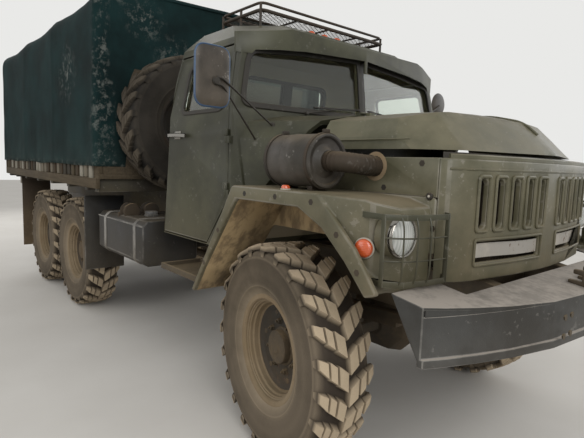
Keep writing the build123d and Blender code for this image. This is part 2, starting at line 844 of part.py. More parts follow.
# One half of each door hinge: toward is +1 for the half on the cab, -1 for the door's.
def door_hinges(side, toward):
    x, y = door_hinge
    for middle_z in door_hinge_z:
        near = middle_z - toward * seat_gap / 2
        far = near - toward * knuckle_length
        low_z, high_z = sorted((near, far))
        bar((x, side * y, low_z), (x, side * y, high_z), door_knuckle_radius, sides=6)
        arm_x = sorted((x, x + toward * 34))
        arm_y = sorted((side * (cab_half_width - 3), side * (y + 6)))
        block((arm_x[0], arm_y[0], low_z), (arm_x[1], arm_y[1], high_z))


# One half of each hood hinge: toward is -1 for the cowl's half, +1 for the hood's.
def hood_hinges(toward):
    x, z = hood_hinge
    for middle_y in hood_hinge_y:
        near = middle_y + toward * seat_gap / 2
        low_y, high_y = sorted((near, near + toward * knuckle_length))
        bar((x, low_y, z), (x, high_y, z), hood_knuckle_radius, sides=6)
        arm_x = sorted((x + toward * 4, x + toward * 34))
        block((arm_x[0], low_y, belt_z - 25), (arm_x[1], high_y, z + 3))


# One half of each tailgate hinge: toward is +1 for the bed's half, -1 for the gate's.
def gate_hinges(toward):
    x, z = gate_hinge
    for middle_y in gate_hinge_y:
        near = middle_y + toward * seat_gap / 2
        low_y, high_y = sorted((near, near + toward * knuckle_length))
        bar((x, low_y, z), (x, high_y, z), gate_knuckle_radius, sides=6)
        if toward > 0:
            block((x, low_y, z - 7), (bearer_x[0] + 5, high_y, z + 7))
        else:
            block((x - 7, low_y, z), (x + 7, high_y, tailgate_low_z + 5))


cab_outer = cab_form(0)
cab_inner = cab_form(cab_wall, cab_floor_z, roof_top_z - cab_wall)
cowl_outer = faceted((1860, -cab_half_width, 1200), (cowl_front_x, cab_half_width, belt_z), cowl_faces)
cowl_low = (1860, cowl_sheet - cab_half_width, 1190)
cowl_high = (cowl_front_x, cab_half_width - cowl_sheet, belt_z - cowl_sheet)
cowl_inner = faceted(cowl_low, cowl_high, cowl_faces[:-1], inset=cowl_sheet)
visor = faceted((1840, -1000, 2180), (2000, 1000, 2400), visor_faces)


with BuildPart() as cab_shell:
    add(cab_outer)
    with BuildPart(mode=Mode.PRIVATE) as cowl:
        add(cowl_outer)
        add(cowl_inner, mode=Mode.SUBTRACT)
        block((1860, -1100, 1200), (cowl_front_x, 1100, fender_top_z), mode=Mode.SUBTRACT)
        below = [fender_back[1], (fender_back_x(1200), 1200), (1860, 1200), (1860, fender_top_z)]
        with BuildPart(mode=Mode.PRIVATE) as skirt:
            side_plate(below, -1100, 1100)
            add(cowl_outer, mode=Mode.INTERSECT)
            add(cowl_inner, mode=Mode.SUBTRACT)
        add(skirt.part)
    add(cowl.part)
    with BuildPart(mode=Mode.PRIVATE) as brow:
        add(visor)
        add(visor.moved(Location((-10, 0, -visor_sheet))), mode=Mode.SUBTRACT)
    add(brow.part)
    add(cab_inner, mode=Mode.SUBTRACT)
    for y_low, y_high in ((-1100, -855), (855, 1100)):
        side_plate(door_outline(door_gap, door_rear_gap), y_low, y_high, mode=Mode.SUBTRACT)
    cross_plate(rear_window, 1000, 1250, mode=Mode.SUBTRACT)
    for side in (1, -1):
        cross_plate([(side * y, z) for y, z in pane_outline], 1700, 2100, mode=Mode.SUBTRACT)
        door_hinges(side, 1)
    hood_hinges(-1)
save(cab_shell.part, "cab_shell")

# Hood: an open shell with a drooping nose bowed in plan, hinged along its rear edge
hood_rear_x = cowl_front_x + hood_rear_gap
hood_front_x = grille_front_x - 3
hood_faces = [
    ((hood_front_x, 0, 0), (1, 0.11, 0)),
    ((hood_front_x - 64, nose_half_width - 265, 0), (1, 0.34, 0)),
    ((hood_front_x - 132, nose_half_width - 65, 0), (1, 1, 0)),
    ((2366, nose_half_width, 0), (0.021, 1, 0)),
    ((0, nose_half_width, 1690), (0, 100, 65)),
    ((0, nose_half_width - 65, 1790), (0, 32, 140)),
    ((0, nose_half_width - 205, 1822), (0, 28, 560)),
    ((2900, 0, 1846), (37, 4, 171)),
    ((hood_front_x - 171, 0, 1809), (78, 16, 92)),
    ((hood_front_x - 79, 0, 1731), (61, 16, 59)),
    ((hood_front_x - 171, nose_half_width - 200, 1700), (78, 90, 92)),
]
hood_low = (hood_rear_x, -900, hood_low_z)
with BuildPart() as hood:
    add(faceted(hood_low, (3400, 900, 1850), hood_faces))
    inner_low = (hood_rear_x - 10, -900, hood_low_z - 10)
    inner = faceted(inner_low, (3400, 900, 1850 - nose_sheet), hood_faces, inset=nose_sheet)
    add(inner, mode=Mode.SUBTRACT)
    hood_hinges(1)
save(hood.part, "hood")

# Doors: the cab's own skin inside their outlines, each with a window and a handle
glass_outer = cab_form(glass_inset)
glass_inner = cab_form(glass_inset + glass_thickness, high_z=roof_top_z - 30)
for side, name in ((1, "door_left"), (-1, "door_right")):
    y_low, y_high = sorted((side * 860, side * 1100))
    with BuildPart() as door:
        side_plate(door_outline(0, 0), y_low, y_high)
        add(cab_outer, mode=Mode.INTERSECT)
        add(cab_form(cab_wall, 900, roof_top_z), mode=Mode.SUBTRACT)
        side_plate(door_window, y_low, y_high, mode=Mode.SUBTRACT)
        handle_y = sorted((side * (cab_half_width - 5), side * (cab_half_width + 26)))
        block((1150, handle_y[0], 1706), (1265, handle_y[1], 1730))
        door_hinges(side, -1)
    save(door.part, name)
    with BuildPart() as door_glass:
        side_plate(door_window, y_low, y_high)
        add(glass_outer, mode=Mode.INTERSECT)
        add(glass_inner, mode=Mode.SUBTRACT)
    save(door_glass.part, "door_glass" + name[4:])

with BuildPart() as cab_glass:
    for side in (1, -1):
        cross_plate([(side * y, z) for y, z in pane_outline], 1700, 2100)
    cross_plate(rear_window, 1000, 1250)
    add(glass_outer, mode=Mode.INTERSECT)
    add(glass_inner, mode=Mode.SUBTRACT)
save(cab_glass.part, "cab_glass")

# Inside the cab: dashboard, steering wheel on its column, and two seats
with BuildPart() as dashboard:
    outline = [(1940, 1440), (1940, 1790), (1850, 1790), (1790, 1740), (1790, 1600), (1840, 1480)]
    side_plate(outline, -840, 840)
    add(cab_form(cab_wall, cab_floor_z, 2400), mode=Mode.INTERSECT)
save(dashboard.part, "dashboard")

steering_centre = (1660, 480, 1690)
with BuildPart() as steering_wheel:
    tilt = Location(steering_centre, (0, 60, 0))
    ring = turned([(225, -11), (225, 11), (203, 11), (203, -11)], 12)
    with Locations(tilt * Location((0, 0, 0), (90, 0, 0))):
        add(ring)
    hub = Vector(*steering_centre)
    axis_run = Vector(0.866, 0, -0.5)
    bar(tuple(hub - axis_run * 12), tuple(hub + axis_run * 30), 45)
    for reach in ((0, 1, 0), (0, -1, 0), (-0.5, 0, -0.866)):
        bar(tuple(hub), tuple(hub + Vector(*reach) * 212), 10, sides=6)
    bar(tuple(hub), tuple(hub + axis_run * 300), 24)
    side_plate(outline, -840, 840, mode=Mode.SUBTRACT)
save(steering_wheel.part, "steering_wheel")

with BuildPart() as seats:
    for y_low, y_high in ((200, 780), (-800, -140)):
        block((1130, y_low + 60, cab_floor_z), (1500, y_high - 60, seat_base_z))
        cushion = [
            (1085, seat_base_z),
            (1560, seat_base_z),
            (1580, seat_base_z + 60),
            (1560, seat_top_z + 10),
            (1240, seat_top_z),
            (1290, 1880),
            (1180, 1900),
        ]
        side_plate(cushion, y_low, y_high)
save(seats.part, "seats")

# Mirrors: the right one on two rods from the cowl's side, the left one on the door
with BuildPart() as mirror_right:
    flat_y = -1300
    mirror_outline = [(-100, 1848), (-65, 1813), (65, 1813), (100, 1848), (100, 2073), (65, 2108), (-65, 2108), (-100, 2073)]
    cross_plate([(flat_y + y, z) for y, z in mirror_outline], 2145, 2163)
    for rod_z, foot in ((1961, (2060, -850, 1760)), (1880, (1990, -890, 1650))):
        bar((2145, flat_y + 30, rod_z), foot, 10, sides=6)
    add(cowl_outer, mode=Mode.SUBTRACT)
save(mirror_right.part, "mirror_right")

with BuildPart() as mirror_left:
    bar((1712, 1300, 2130), (1726, 1300, 2130), 100, sides=12)
    bar((1719, 1290, 2100), (1800, 940, 1960), 10, sides=6)
    add(cab_outer, mode=Mode.SUBTRACT)
save(mirror_left.part, "mirror_left")

# Roof rack: a tray with rails on legs that stand on the roof
with BuildPart() as roof_rack:
    for x in (1120, 1345, 1570):
        block((x, -620, 2540), (x + 40, 620, 2552))
        for y in (-620, 596):
            block((x + 8, y, 2380), (x + 32, y + 24, 2600))
    for y in (-620, -212, 188, 596):
        block((1120, y, 2540), (1610, y + 24, 2552))
    for y in (-620, 596):
        block((1120, y, 2588), (1610, y + 24, 2600))
    for x in (1120, 1586):
        block((x, -620, 2588), (x + 24, 620, 2600))
    add(cab_outer, mode=Mode.SUBTRACT)
save(roof_rack.part, "roof_rack")

# Air filter lying beside the hood, with its duct into the side panel
filter_axis = (-nose_half_width - 190, 1572)
filter_radius = 127
with BuildPart() as air_filter:
    y, z = filter_axis
    bar((2285, y, z), (2622, y, z), filter_radius, sides=12)
    for x in (2297, 2590):
        bar((x, y, z), (x + 16, y, z), filter_radius + 5, sides=12)
    bar((2620, y, z), (2700, y, z), duct_radius)
    bar((2690, y, z), (2745, y + 93, 1560), duct_radius)
    bar((2745, y + 80, 1558), (2745, 10 - nose_half_width, 1556), duct_radius)
    for x in (2330, 2530):
        block((x, y - 40, fender_top_z), (x + 40, y + 40, z - 100))
save(air_filter.part, "air_filter")

# Small lamps: turn signals, side markers, roof lamps and tail lamps
with BuildPart() as lamps:
    for side in (1, -1):
        signal = Vector(2955, side * 1059.6, 1225)
        outward = Vector(50, side * 130, 0).normalized()
        bar(tuple(signal + outward * 0.5), tuple(signal + outward * 28), 40, sides=10)
        bar((2480, side * 1090, fender_top_z), (2480, side * 1090, fender_top_z + 24), 22)
        tail_y = sorted((side * 820, side * 1060))
        block((-3455, tail_y[0], 1160), (-3400, tail_y[1], bearer_low_z))
    for y in (-130, 0, 130):
        bar((1560, y, roof_top_z), (1560, y, roof_top_z + 32), 30)
save(lamps.part, "lamps")

# Steps below the doors, on brackets from the rails
with BuildPart() as steps:
    block((1130, 760, 800), (1640, 1080, 840))
    block((1150, 780, 812), (1620, 1060, 840), mode=Mode.SUBTRACT)
    for x in (1200, 1540):
        block((x, rail_outer_y, 805), (x + 40, 765, 840))
    mirror(about=Plane.XZ)
save(steps.part, "steps")

# Fuel tanks with their brackets, and the mud plates ahead of the middle wheels
with BuildPart() as fuel_tanks:
    tank = [
        (660, 740),
        (1040, 740),
        (1080, 780),
        (1080, 1050),
        (1040, 1090),
        (660, 1090),
        (620, 1050),
        (620, 780),
    ]
    cross_plate(tank, -130, 820)
    for x in (10, 640):
        block((x, rail_outer_y, 830), (x + 50, 640, 900))
    block((-390, 760, 500), (-370, 1130, 1200))
    block((-390, rail_outer_y, 900), (-350, 800, 940))
    mirror(about=Plane.XZ)
save(fuel_tanks.part, "fuel_tanks")

# Spare wheel carrier, standing on the rails behind the cab
with BuildPart() as spare_carrier:
    block((255, -610, rail_top), (295, rail_outer_y, 1110))
    block((255, -590, rail_top), (295, -470, 1960))
    block((290, -590, 1780), (spare_centre[0] - 25, -470, 1920))
save(spare_carrier.part, "spare_carrier")

# Cargo bed: sills on the rails, bearers across them, the floor, and the boards round it
bearer_x = [-3440, -3022, -2470, -1880, -1290, -700, -160, 110]
with BuildPart() as bed_frame:
    for side in (1, -1):
        sill_y = sorted((side * rail_inner_y, side * rail_outer_y))
        block((-3440, sill_y[0], rail_top), (190, sill_y[1], bearer_low_z + 5))
    for x in bearer_x:
        block((x, -1190, bearer_low_z), (x + bearer_width, 1190, floor_low_z))
    gate_hinges(1)
save(bed_frame.part, "bed_frame")

# The boards and posts stand on a ledge round the raised planks.
post_y = bed_inside_half_width - lattice_thickness
lattice_front = bed_front_x - board_thickness - corner_gap
with BuildPart() as bed_floor:
    block((bed_rear_x, -floor_outer_y, floor_low_z), (bed_front_x, floor_outer_y, ledge_z))
    planks_y = post_y - corner_gap
    block((bed_rear_x, -planks_y, floor_low_z), (lattice_front, planks_y, bed_floor_z))
    for y in (-1225, 1190):
        block((bed_rear_x, y, 1300), (bed_front_x, y + 35, floor_low_z + 5))
save(bed_floor.part, "bed_floor")

with BuildPart() as bed_sides:
    front_low = (bed_front_x - board_thickness, corner_gap - bed_inside_half_width, ledge_z)
    block(front_low, (bed_front_x, bed_inside_half_width - corner_gap, lattice_top_z))
    board_low = (bed_rear_x, bed_inside_half_width, ledge_z)
    block(board_low, (bed_front_x, floor_outer_y, board_top_z))
    for low_z in (1960, 2260):
        block((-3440, post_y, low_z), (lattice_front, bed_inside_half_width, low_z + 85))
    for x in (-3400, -1700, 60):
        block((x, post_y, ledge_z), (x + 70, bed_inside_half_width, lattice_top_z))
    mirror(about=Plane.XZ)
save(bed_sides.part, "bed_sides")

tailgate_front_x = bed_rear_x - tailgate_gap
tailgate_rear_x = tailgate_front_x - tailgate_thickness
with BuildPart() as tailgate:
    gate_low = (tailgate_rear_x, -tailgate_half_width, tailgate_low_z)
    block(gate_low, (tailgate_front_x, tailgate_half_width, board_top_z))
    for y in (-900, -300, 300, 900):
        block((rear_x, y - 30, tailgate_low_z + 20), (tailgate_rear_x, y + 30, board_top_z - 60))
    gate_hinges(-1)
save(tailgate.part, "tailgate")

# Bows standing on the side boards, and the tarpaulin over them
tarp_section = [(1250, tarp_low_z), (1240, 2000), (1236, 2740), (1210, 2830), (1130, 2890), (700, 2945), (0, 2965)]
tarp_lining = [(1242, tarp_low_z), (1232, 2000), (1228, 2738), (1203, 2825), (1127, 2882), (699, 2937), (0, 2957)]
with BuildPart() as tarp_bows:
    bow = [(1198, board_top_z), (1198, 2765), (1100, 2862), (0, 2928)]
    for x in (-3440, -2220, -1000, 180):
        outer = both_mirrored(bow)
        inner = [(y * 0.975, z - (28 if z > board_top_z else 0)) for y, z in reversed(outer)]
        cross_plate(outer + inner, x, x + 28)
save(tarp_bows.part, "tarp_bows")

tarp_front_x = bed_front_x + tarp_thickness
with BuildPart() as tarpaulin:
    cross_plate(both_mirrored(tarp_section), tarp_rear_x, tarp_front_x)
    cross_plate(both_mirrored(tarp_lining), tarp_rear_x + tarp_thickness, bed_front_x, mode=Mode.SUBTRACT)
    back_low = (tarp_rear_x - 1, -1300, tarp_low_z - 1)
    block(back_low, (tarp_rear_x + tarp_thickness, 1300, curtain_low_z), mode=Mode.SUBTRACT)
save(tarpaulin.part, "tarpaulin")

# Mud flaps behind the rear wheels, hung against a bearer
with BuildPart() as mud_flaps:
    flap_x = bearer_x[1]
    block((flap_x - 10, 770, 340), (flap_x, 1120, 1330))
    mirror(about=Plane.XZ)
save(mud_flaps.part, "mud_flaps")
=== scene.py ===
from math import cos, pi, radians, sin, sqrt

import bmesh
import bpy
from mathutils import Matrix, Vector, kdtree, noise


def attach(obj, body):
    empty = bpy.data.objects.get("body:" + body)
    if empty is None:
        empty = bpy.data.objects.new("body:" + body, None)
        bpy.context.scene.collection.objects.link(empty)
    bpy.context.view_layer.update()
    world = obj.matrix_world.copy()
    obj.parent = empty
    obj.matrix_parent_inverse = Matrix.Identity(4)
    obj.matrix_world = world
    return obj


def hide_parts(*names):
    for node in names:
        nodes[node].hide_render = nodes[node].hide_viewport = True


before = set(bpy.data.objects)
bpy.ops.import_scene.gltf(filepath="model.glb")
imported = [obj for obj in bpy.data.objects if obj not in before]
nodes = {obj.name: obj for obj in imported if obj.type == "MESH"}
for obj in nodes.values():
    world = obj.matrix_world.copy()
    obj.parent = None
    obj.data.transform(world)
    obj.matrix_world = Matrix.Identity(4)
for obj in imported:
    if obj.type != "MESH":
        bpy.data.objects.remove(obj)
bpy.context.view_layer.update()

print("frame loaded,", len(nodes), "nodes")

camera = {"place": (4.2008, -2.5239, 1.5505), "yaw": 139.301, "pitch": -6.539, "roll": 1.949, "lens": 29.28}
# The olive is the cab's paint as it looks in shade, a painted shade; the lighter olive is the same paint where light
# falls on it, a painted light
colours = {
    "olive": "#434333", "oliveLit": "#5c5a48", "oliveDark": "#303025", "dust": "#6d604b", "mud": "#75644c",
    "mudDark": "#352c22", "archMud": "#a8926e", "bare": "#8d8a84", "rust": "#4f382b",
    "lugDust": "#b3a289", "rim": "#8c7b64", "hubDark": "#33291e", "canvasPale": "#45534f", "wood": "#352e25",
    "woodPale": "#4a4236", "chassis": "#292723", "bumper": "#363634", "bumperTop": "#857e75", "filter": "#504d4b",
    "beige": "#a2967f", "amber": "#bb4f26", "tank": "#2a2b2d", "peel": "#b8b2a4", "mirror": "#433e39",
    "blue": "#27415c", "trim": "#1f1e1c", "flap": "#2b2720",
}


def rgb(code):
    code = colours.get(code, code)
    channels = [int(code[i:i + 2], 16) / 255 for i in (1, 3, 5)]
    return tuple(c / 12.92 if c <= 0.04045 else ((c + 0.055) / 1.055) ** 2.4 for c in channels) + (1.0,)


# Pairs of metres from numbers in millimetres
def pairs(*numbers):
    return [(a / 1000, b / 1000) for a, b in zip(numbers[::2], numbers[1::2])]


# Shader building; a node goes into the tree that its first linked value lies in

def feed(value, socket):
    if isinstance(value, bpy.types.NodeSocket):
        socket.id_data.links.new(value, socket)
    else:
        socket.default_value = value


def makeNode(tree, kind, inputs=None, family="ShaderNode", **settings):
    node = tree.nodes.new(family + kind)
    for key, value in settings.items():
        setattr(node, key, value)
    for key, value in (inputs or {}).items():
        feed(value, node.inputs[key])
    return node


def calc(operation, *values, clamp=False):
    tree = next(value.id_data for value in values if isinstance(value, bpy.types.NodeSocket))
    return makeNode(tree, "Math", dict(enumerate(values)), operation=operation, use_clamp=clamp).outputs[0]


def times(first, *others, clamp=False):
    for other in others:
        first = calc("MULTIPLY", first, other, clamp=clamp)
    return first


def plus(first, second, clamp=False):
    return calc("ADD", first, second, clamp=clamp)


def ramp(value, low, high, toLow=0.0, toHigh=1.0):
    ends = {"Value": value, "From Min": low, "From Max": high, "To Min": toLow, "To Max": toHigh}
    return makeNode(value.id_data, "MapRange", ends, interpolation_type="SMOOTHSTEP").outputs["Result"]


def noiseOf(vector, scale, detail=4.0, rough=0.55, stretch=None):
    tree = vector.id_data
    if stretch:
        vector = makeNode(tree, "Mapping", {"Vector": vector, "Scale": stretch}).outputs[0]
    look = {"Vector": vector, "Scale": scale, "Detail": detail, "Roughness": rough}
    return makeNode(tree, "TexNoise", look).outputs["Fac"]


def blend(factor, first, second):
    return makeNode(factor.id_data, "Mix", {0: factor, 6: first, 7: second}, data_type="RGBA").outputs[2]


def objectPlace(tree):
    return makeNode(tree, "TexCoord").outputs["Object"]


def axesOf(vector):
    return makeNode(vector.id_data, "SeparateXYZ", {"Vector": vector}).outputs


def normalAxes(tree):
    return axesOf(makeNode(tree, "NewGeometry").outputs["Normal"])


def attribute(tree, name):
    return makeNode(tree, "Attribute", attribute_name=name).outputs["Fac"]


def newGroup(name, inputs, outputs):
    tree = bpy.data.node_groups.new(name, "ShaderNodeTree")
    for label, default in inputs.items():
        tree.interface.new_socket(name=label, in_out="INPUT", socket_type="NodeSocketFloat").default_value = default
    for label in outputs:
        tree.interface.new_socket(name=label, in_out="OUTPUT", socket_type="NodeSocketFloat")
    return tree, tree.nodes.new("NodeGroupInput").outputs, tree.nodes.new("NodeGroupOutput").inputs


# Dust that settles on tops and low down, blotches, chips along the surface and a fine grain
def makeWeathering():
    settings = {"lowZ": 0.3, "highZ": 1.7, "lowDust": 0.6, "topDust": 0.5, "chips": 0.3}
    tree, given, result = newGroup("weathering", settings, ("dust", "blotch", "chips", "grain"))
    place = objectPlace(tree)
    blotch = noiseOf(place, 2.3, 8.0, 0.62)
    fine = noiseOf(place, 38.0, 5.0, 0.6)
    streak = noiseOf(place, 5.0, 5.0, 0.6, (1.0, 1.0, 0.12))
    lowMask = times(ramp(axesOf(place)["Z"], given["highZ"], given["lowZ"]), given["lowDust"])
    topMask = times(ramp(normalAxes(tree)["Z"], 0.45, 0.97), given["topDust"])
    patchy = times(plus(lowMask, topMask), ramp(plus(blotch, times(streak, 0.5)), 0.45, 1.0, 0.45, 1.5))
    chipField = plus(times(fine, 0.55), times(noiseOf(place, 7.0, 6.0, 0.7), 0.45))
    feed(times(patchy, ramp(fine, 0.2, 0.75, 0.75, 1.15), clamp=True), result["dust"])
    feed(blotch, result["blotch"])
    feed(times(ramp(chipField, 0.585, 0.62), given["chips"], clamp=True), result["chips"])
    feed(noiseOf(place, 210.0, 3.0, 0.5), result["grain"])
    return tree


# A mask of the cab's lining: what lies inside the skin, behind each of the cab's faces
cabFaces = [
    # a point on the face, its outward normal; y counts on both sides
    ((0.99, 0.0, 1.04), (-1.0, 0.0, 0.11875)), ((0.0, 1.02, 1.84), (0.0, 1.0, 0.2333)),
    ((0.0, 1.0195, 0.0), (0.0, 1.0, 0.0)), ((0.0, 0.915, 2.29), (0.0, 0.72, 0.69)),
    ((0.0, 0.8, 2.41), (0.0, 0.147, 0.989)), ((1.872, 0.8, 2.29), (0.343, 0.253, 0.904)),
    ((0.99, 0.96, 1.04), (-0.705, 0.705, 0.083)), ((1.9, 1.02, 0.0), (0.549, 0.836, 0.0)),
    ((1.98, 0.0, 1.85), (0.988, 0.074, 0.134)), ((1.6, 0.0, 2.48), (0.316, 0.0, 0.949)),
    ((0.0, 0.0, 2.48), (0.0, 0.0, 1.0)), ((0.0, 0.0, 1.06), (0.0, 0.0, -1.0)),
]


def makeInside():
    tree, given, result = newGroup("insideCab", {"skin": 0.022}, ("inside",))
    part = axesOf(objectPlace(tree))
    folded = {"X": part["X"], "Y": calc("ABSOLUTE", part["Y"]), "Z": part["Z"]}
    place = makeNode(tree, "CombineXYZ", folded).outputs[0]
    behind = []
    for point, normal in cabFaces:
        normal = Vector(normal).normalized()
        reach = makeNode(tree, "VectorMath", {0: place, 1: normal}, operation="DOT_PRODUCT").outputs["Value"]
        behind.append(calc("LESS_THAN", plus(reach, given["skin"]), normal.dot(Vector(point))))
    feed(times(*behind), result["inside"])
    return tree


# Plain weave: two crossed ripples
def makeWeave():
    tree, given, result = newGroup("weave", {"count": 900.0, "slub": 0.4}, ("threads",))
    part = axesOf(makeNode(tree, "TexCoord").outputs["UV"])
    across, along = (calc("SINE", times(part[axis], given["count"])) for axis in "XY")
    fibre = noiseOf(objectPlace(tree), 90.0, 4.0, 0.6)
    feed(plus(times(across, along), times(fibre, given["slub"])), result["threads"])
    return tree


# Long grain with dark cracks; it runs along X
def makeWood():
    tree, given, result = newGroup("woodGrain", {"crack": 0.5}, ("grain", "crack"))
    place = objectPlace(tree)
    crack = ramp(noiseOf(place, 14.0, 6.0, 0.7, (0.16, 4.0, 4.0)), 0.6, 0.68)
    feed(noiseOf(place, 9.0, 8.0, 0.68, (0.35, 6.0, 6.0)), result["grain"])
    feed(times(crack, given["crack"]), result["crack"])
    return tree


weathering, insideCab, weave, woodGrain = makeWeathering(), makeInside(), makeWeave(), makeWood()
finishes = {}


def placeGroup(tree, group, **values):
    node = tree.nodes.new("ShaderNodeGroup")
    node.node_tree = group
    for key, value in values.items():
        node.inputs[key].default_value = value
    return node.outputs


def wearOf(tree, low, lowDust, topDust, chips=0.0):
    return placeGroup(tree, weathering, lowZ=low[0], highZ=low[1], lowDust=lowDust, topDust=topDust, chips=chips)


def startMaterial(name, roughness=0.6, **settings):
    material = finishes[name] = bpy.data.materials.new(name)
    material.use_nodes = True
    sockets = material.node_tree.nodes["Principled BSDF"].inputs
    for key, value in dict(settings, Roughness=roughness).items():
        sockets[key.replace("_", " ")].default_value = value
    return material.node_tree, sockets


def surface(sockets, colour, height, strength, distance=0.002):
    feed(colour, sockets["Base Color"])
    bump = makeNode(colour.id_data, "Bump", {"Height": height, "Strength": strength, "Distance": distance})
    feed(bump.outputs[0], sockets["Normal"])


# Thrown mud inside the wheel arches: their undersides, inner walls and splash panels
def archMud(tree, wear):
    part, normal = axesOf(objectPlace(tree)), normalAxes(tree)
    across = calc("ABSOLUTE", part["Y"])
    outward = times(normal["Y"], calc("SIGN", part["Y"]))
    skin = times(calc("GREATER_THAN", outward, 0.3), calc("GREATER_THAN", across, 0.95))
    slope = times(calc("SUBTRACT", part["X"], 1.6), 1.551)
    return times(
        calc("LESS_THAN", across, 1.1045), calc("GREATER_THAN", across, 0.742),
        calc("GREATER_THAN", part["X"], 1.62), calc("LESS_THAN", part["X"], 2.9),
        calc("LESS_THAN", part["Z"], 1.409), ramp(normal["Z"], 0.25, -0.05),
        calc("LESS_THAN", calc("SUBTRACT", part["Z"], 0.765), slope), calc("SUBTRACT", 1.0, skin),
        ramp(wear["blotch"], 0.25, 0.55, 0.75, 1.0))


# A weathered finish: base colour with a darker blotch, chips to what is beneath, and dust over all
def weathered(name, base, dark, dustColour, under, low, lowDust, topDust, chips, rough, bump, metallic=0.0,
              lining=None, muddy=False):
    tree, sockets = startMaterial(name, rough[0], Metallic=metallic, Specular_IOR_Level=0.28)
    wear = wearOf(tree, low, lowDust, topDust, chips)
    dust, relief = wear["dust"], wear["grain"]
    colour = blend(ramp(wear["blotch"], 0.38, 0.66), rgb(dark), rgb(base))
    if lining:
        colour = blend(placeGroup(tree, insideCab)["inside"], colour, rgb(lining))
    rubbed = times(attribute(tree, "edge"), ramp(wear["blotch"], 0.42, 0.62, 0.0, 0.4))
    colour = blend(calc("MAXIMUM", wear["chips"], rubbed), colour, rgb(under))
    if muddy:
        mud = archMud(tree, wear)
        dust = calc("MAXIMUM", dust, mud)
    colour = blend(dust, colour, rgb(dustColour))
    if muddy:
        clots = noiseOf(objectPlace(tree), 11.0, 7.0, 0.62, (1.0, 1.0, 0.4))
        colour = blend(mud, colour, blend(ramp(clots, 0.36, 0.58), rgb("mud"), rgb("archMud")))
        relief = plus(relief, times(clots, mud, 14.0))
    grainy = times(calc("SUBTRACT", wear["grain"], 0.5), 0.12)
    feed(plus(ramp(dust, 0.0, 0.8, *rough), grainy, clamp=True), sockets["Roughness"])
    surface(sockets, colour, plus(relief, times(dust, 1.5)), bump, 0.0012)


# Paints, metals and rubbers
paints = {
    # name: base, dark, dust, beneath, low and high z, low dust, top dust, chips, roughness clean and dusty, bump
    # the cab's paint and the nose's paint are one olive: the cab's copy darkened as painted shade, the nose's copy
    # lightened as painted light
    "bodyPaintShaded": ("olive", "oliveDark", "dust", "bare", (0.6, 1.5), 0.3, 0.12, 0.15, (0.42, 0.8), 0.25),
    "nosePaintLit": ("oliveLit", "olive", "dust", "bare", (0.8, 1.9), 0.45, 0.3, 0.3, (0.38, 0.8), 0.25),
    "rimPaint": ("rim", "mud", "dust", "mudDark", (0.0, 1.6), 0.5, 0.3, 0.4, (0.7, 0.95), 0.6),
    # the wheel's disc inside the rim flange, darker than the rim
    "hubDark": ("hubDark", "chassis", "mud", "rust", (0.0, 1.3), 0.15, 0.2, 0.5, (0.6, 0.95), 0.8),
    "chassisPaint": ("chassis", "mudDark", "dust", "rust", (0.3, 1.5), 0.6, 0.5, 0.4, (0.6, 0.95), 0.6),
    "axleMetal": ("mudDark", "chassis", "mud", "rust", (0.2, 1.4), 0.45, 0.5, 0.4, (0.7, 0.95), 0.9),
    "bumperPaint": ("bumper", "chassis", "bumperTop", "bare", (0.6, 1.1), 0.15, 0.95, 0.18, (0.45, 0.85), 0.4),
    "tankPaint": ("tank", "chassis", "dust", "bare", (0.5, 1.2), 0.2, 0.25, 0.15, (0.5, 0.85), 0.4),
    "bedPaint": ("oliveDark", "chassis", "dust", "bare", (0.8, 1.6), 0.5, 0.3, 0.3, (0.6, 0.9), 0.5),
    "filterPaint": ("filter", "chassis", "dust", "bare", (1.2, 1.8), 0.3, 0.4, 0.3, (0.5, 0.85), 0.4),
    "peeling": ("peel", "bare", "mud", "rust", (1.0, 1.4), 0.35, 0.1, 1.0, (0.6, 0.9), 0.6),
    "paleBase": ("peel", "bare", "dust", "bare", (0.8, 2.6), 0.3, 0.2, 0.2, (0.4, 0.8), 0.25),
    "mirrorBack": ("mirror", "trim", "dust", "bare", (1.6, 2.3), 0.2, 0.2, 0.5, (0.35, 0.7), 0.2),
    "blueRim": ("blue", "blue", "dust", "bare", (1.6, 2.3), 0.1, 0.1, 0.2, (0.3, 0.6), 0.1),
    "strapPale": ("tank", "bare", "dust", "bare", (0.6, 1.1), 0.4, 0.3, 0.5, (0.5, 0.85), 0.3),
    "trimBlack": ("trim", "chassis", "dust", "bare", (0.3, 2.6), 0.2, 0.2, 0.1, (0.5, 0.8), 0.2),
    "flapRubber": ("flap", "mudDark", "mud", "bare", (0.3, 1.4), 0.6, 0.2, 0.1, (0.7, 0.95), 0.6),
    "chrome": ("bare", "bare", "dust", "rust", (0.3, 2.6), 0.15, 0.1, 0.1, (0.22, 0.6), 0.1),
}
extras = {"bodyPaintShaded": {"lining": "beige", "muddy": True}, "nosePaintLit": {"muddy": True}, "chrome": {"metallic": 1.0}}


# Tread and sidewalls; the attribute dusty says where the lugs carry dust
def makeRubber(name, most, groove, side):
    tree, sockets = startMaterial(name, 0.9, Specular_IOR_Level=0.15)
    wear = wearOf(tree, (0.0, 1.2), 0.5, 0.1)
    mask = times(times(attribute(tree, "dusty"), most), ramp(wear["blotch"], 0.25, 0.6, 0.65, 1.15), clamp=True)
    colour = blend(ramp(wear["blotch"], 0.35, 0.62), rgb(groove), rgb(side))
    colour = blend(mask, colour, rgb("lugDust"))
    colour = blend(times(wear["grain"], 0.22), colour, rgb(groove))
    surface(sockets, colour, plus(wear["grain"], times(wear["blotch"], 1.5)), 0.6, 0.0025)


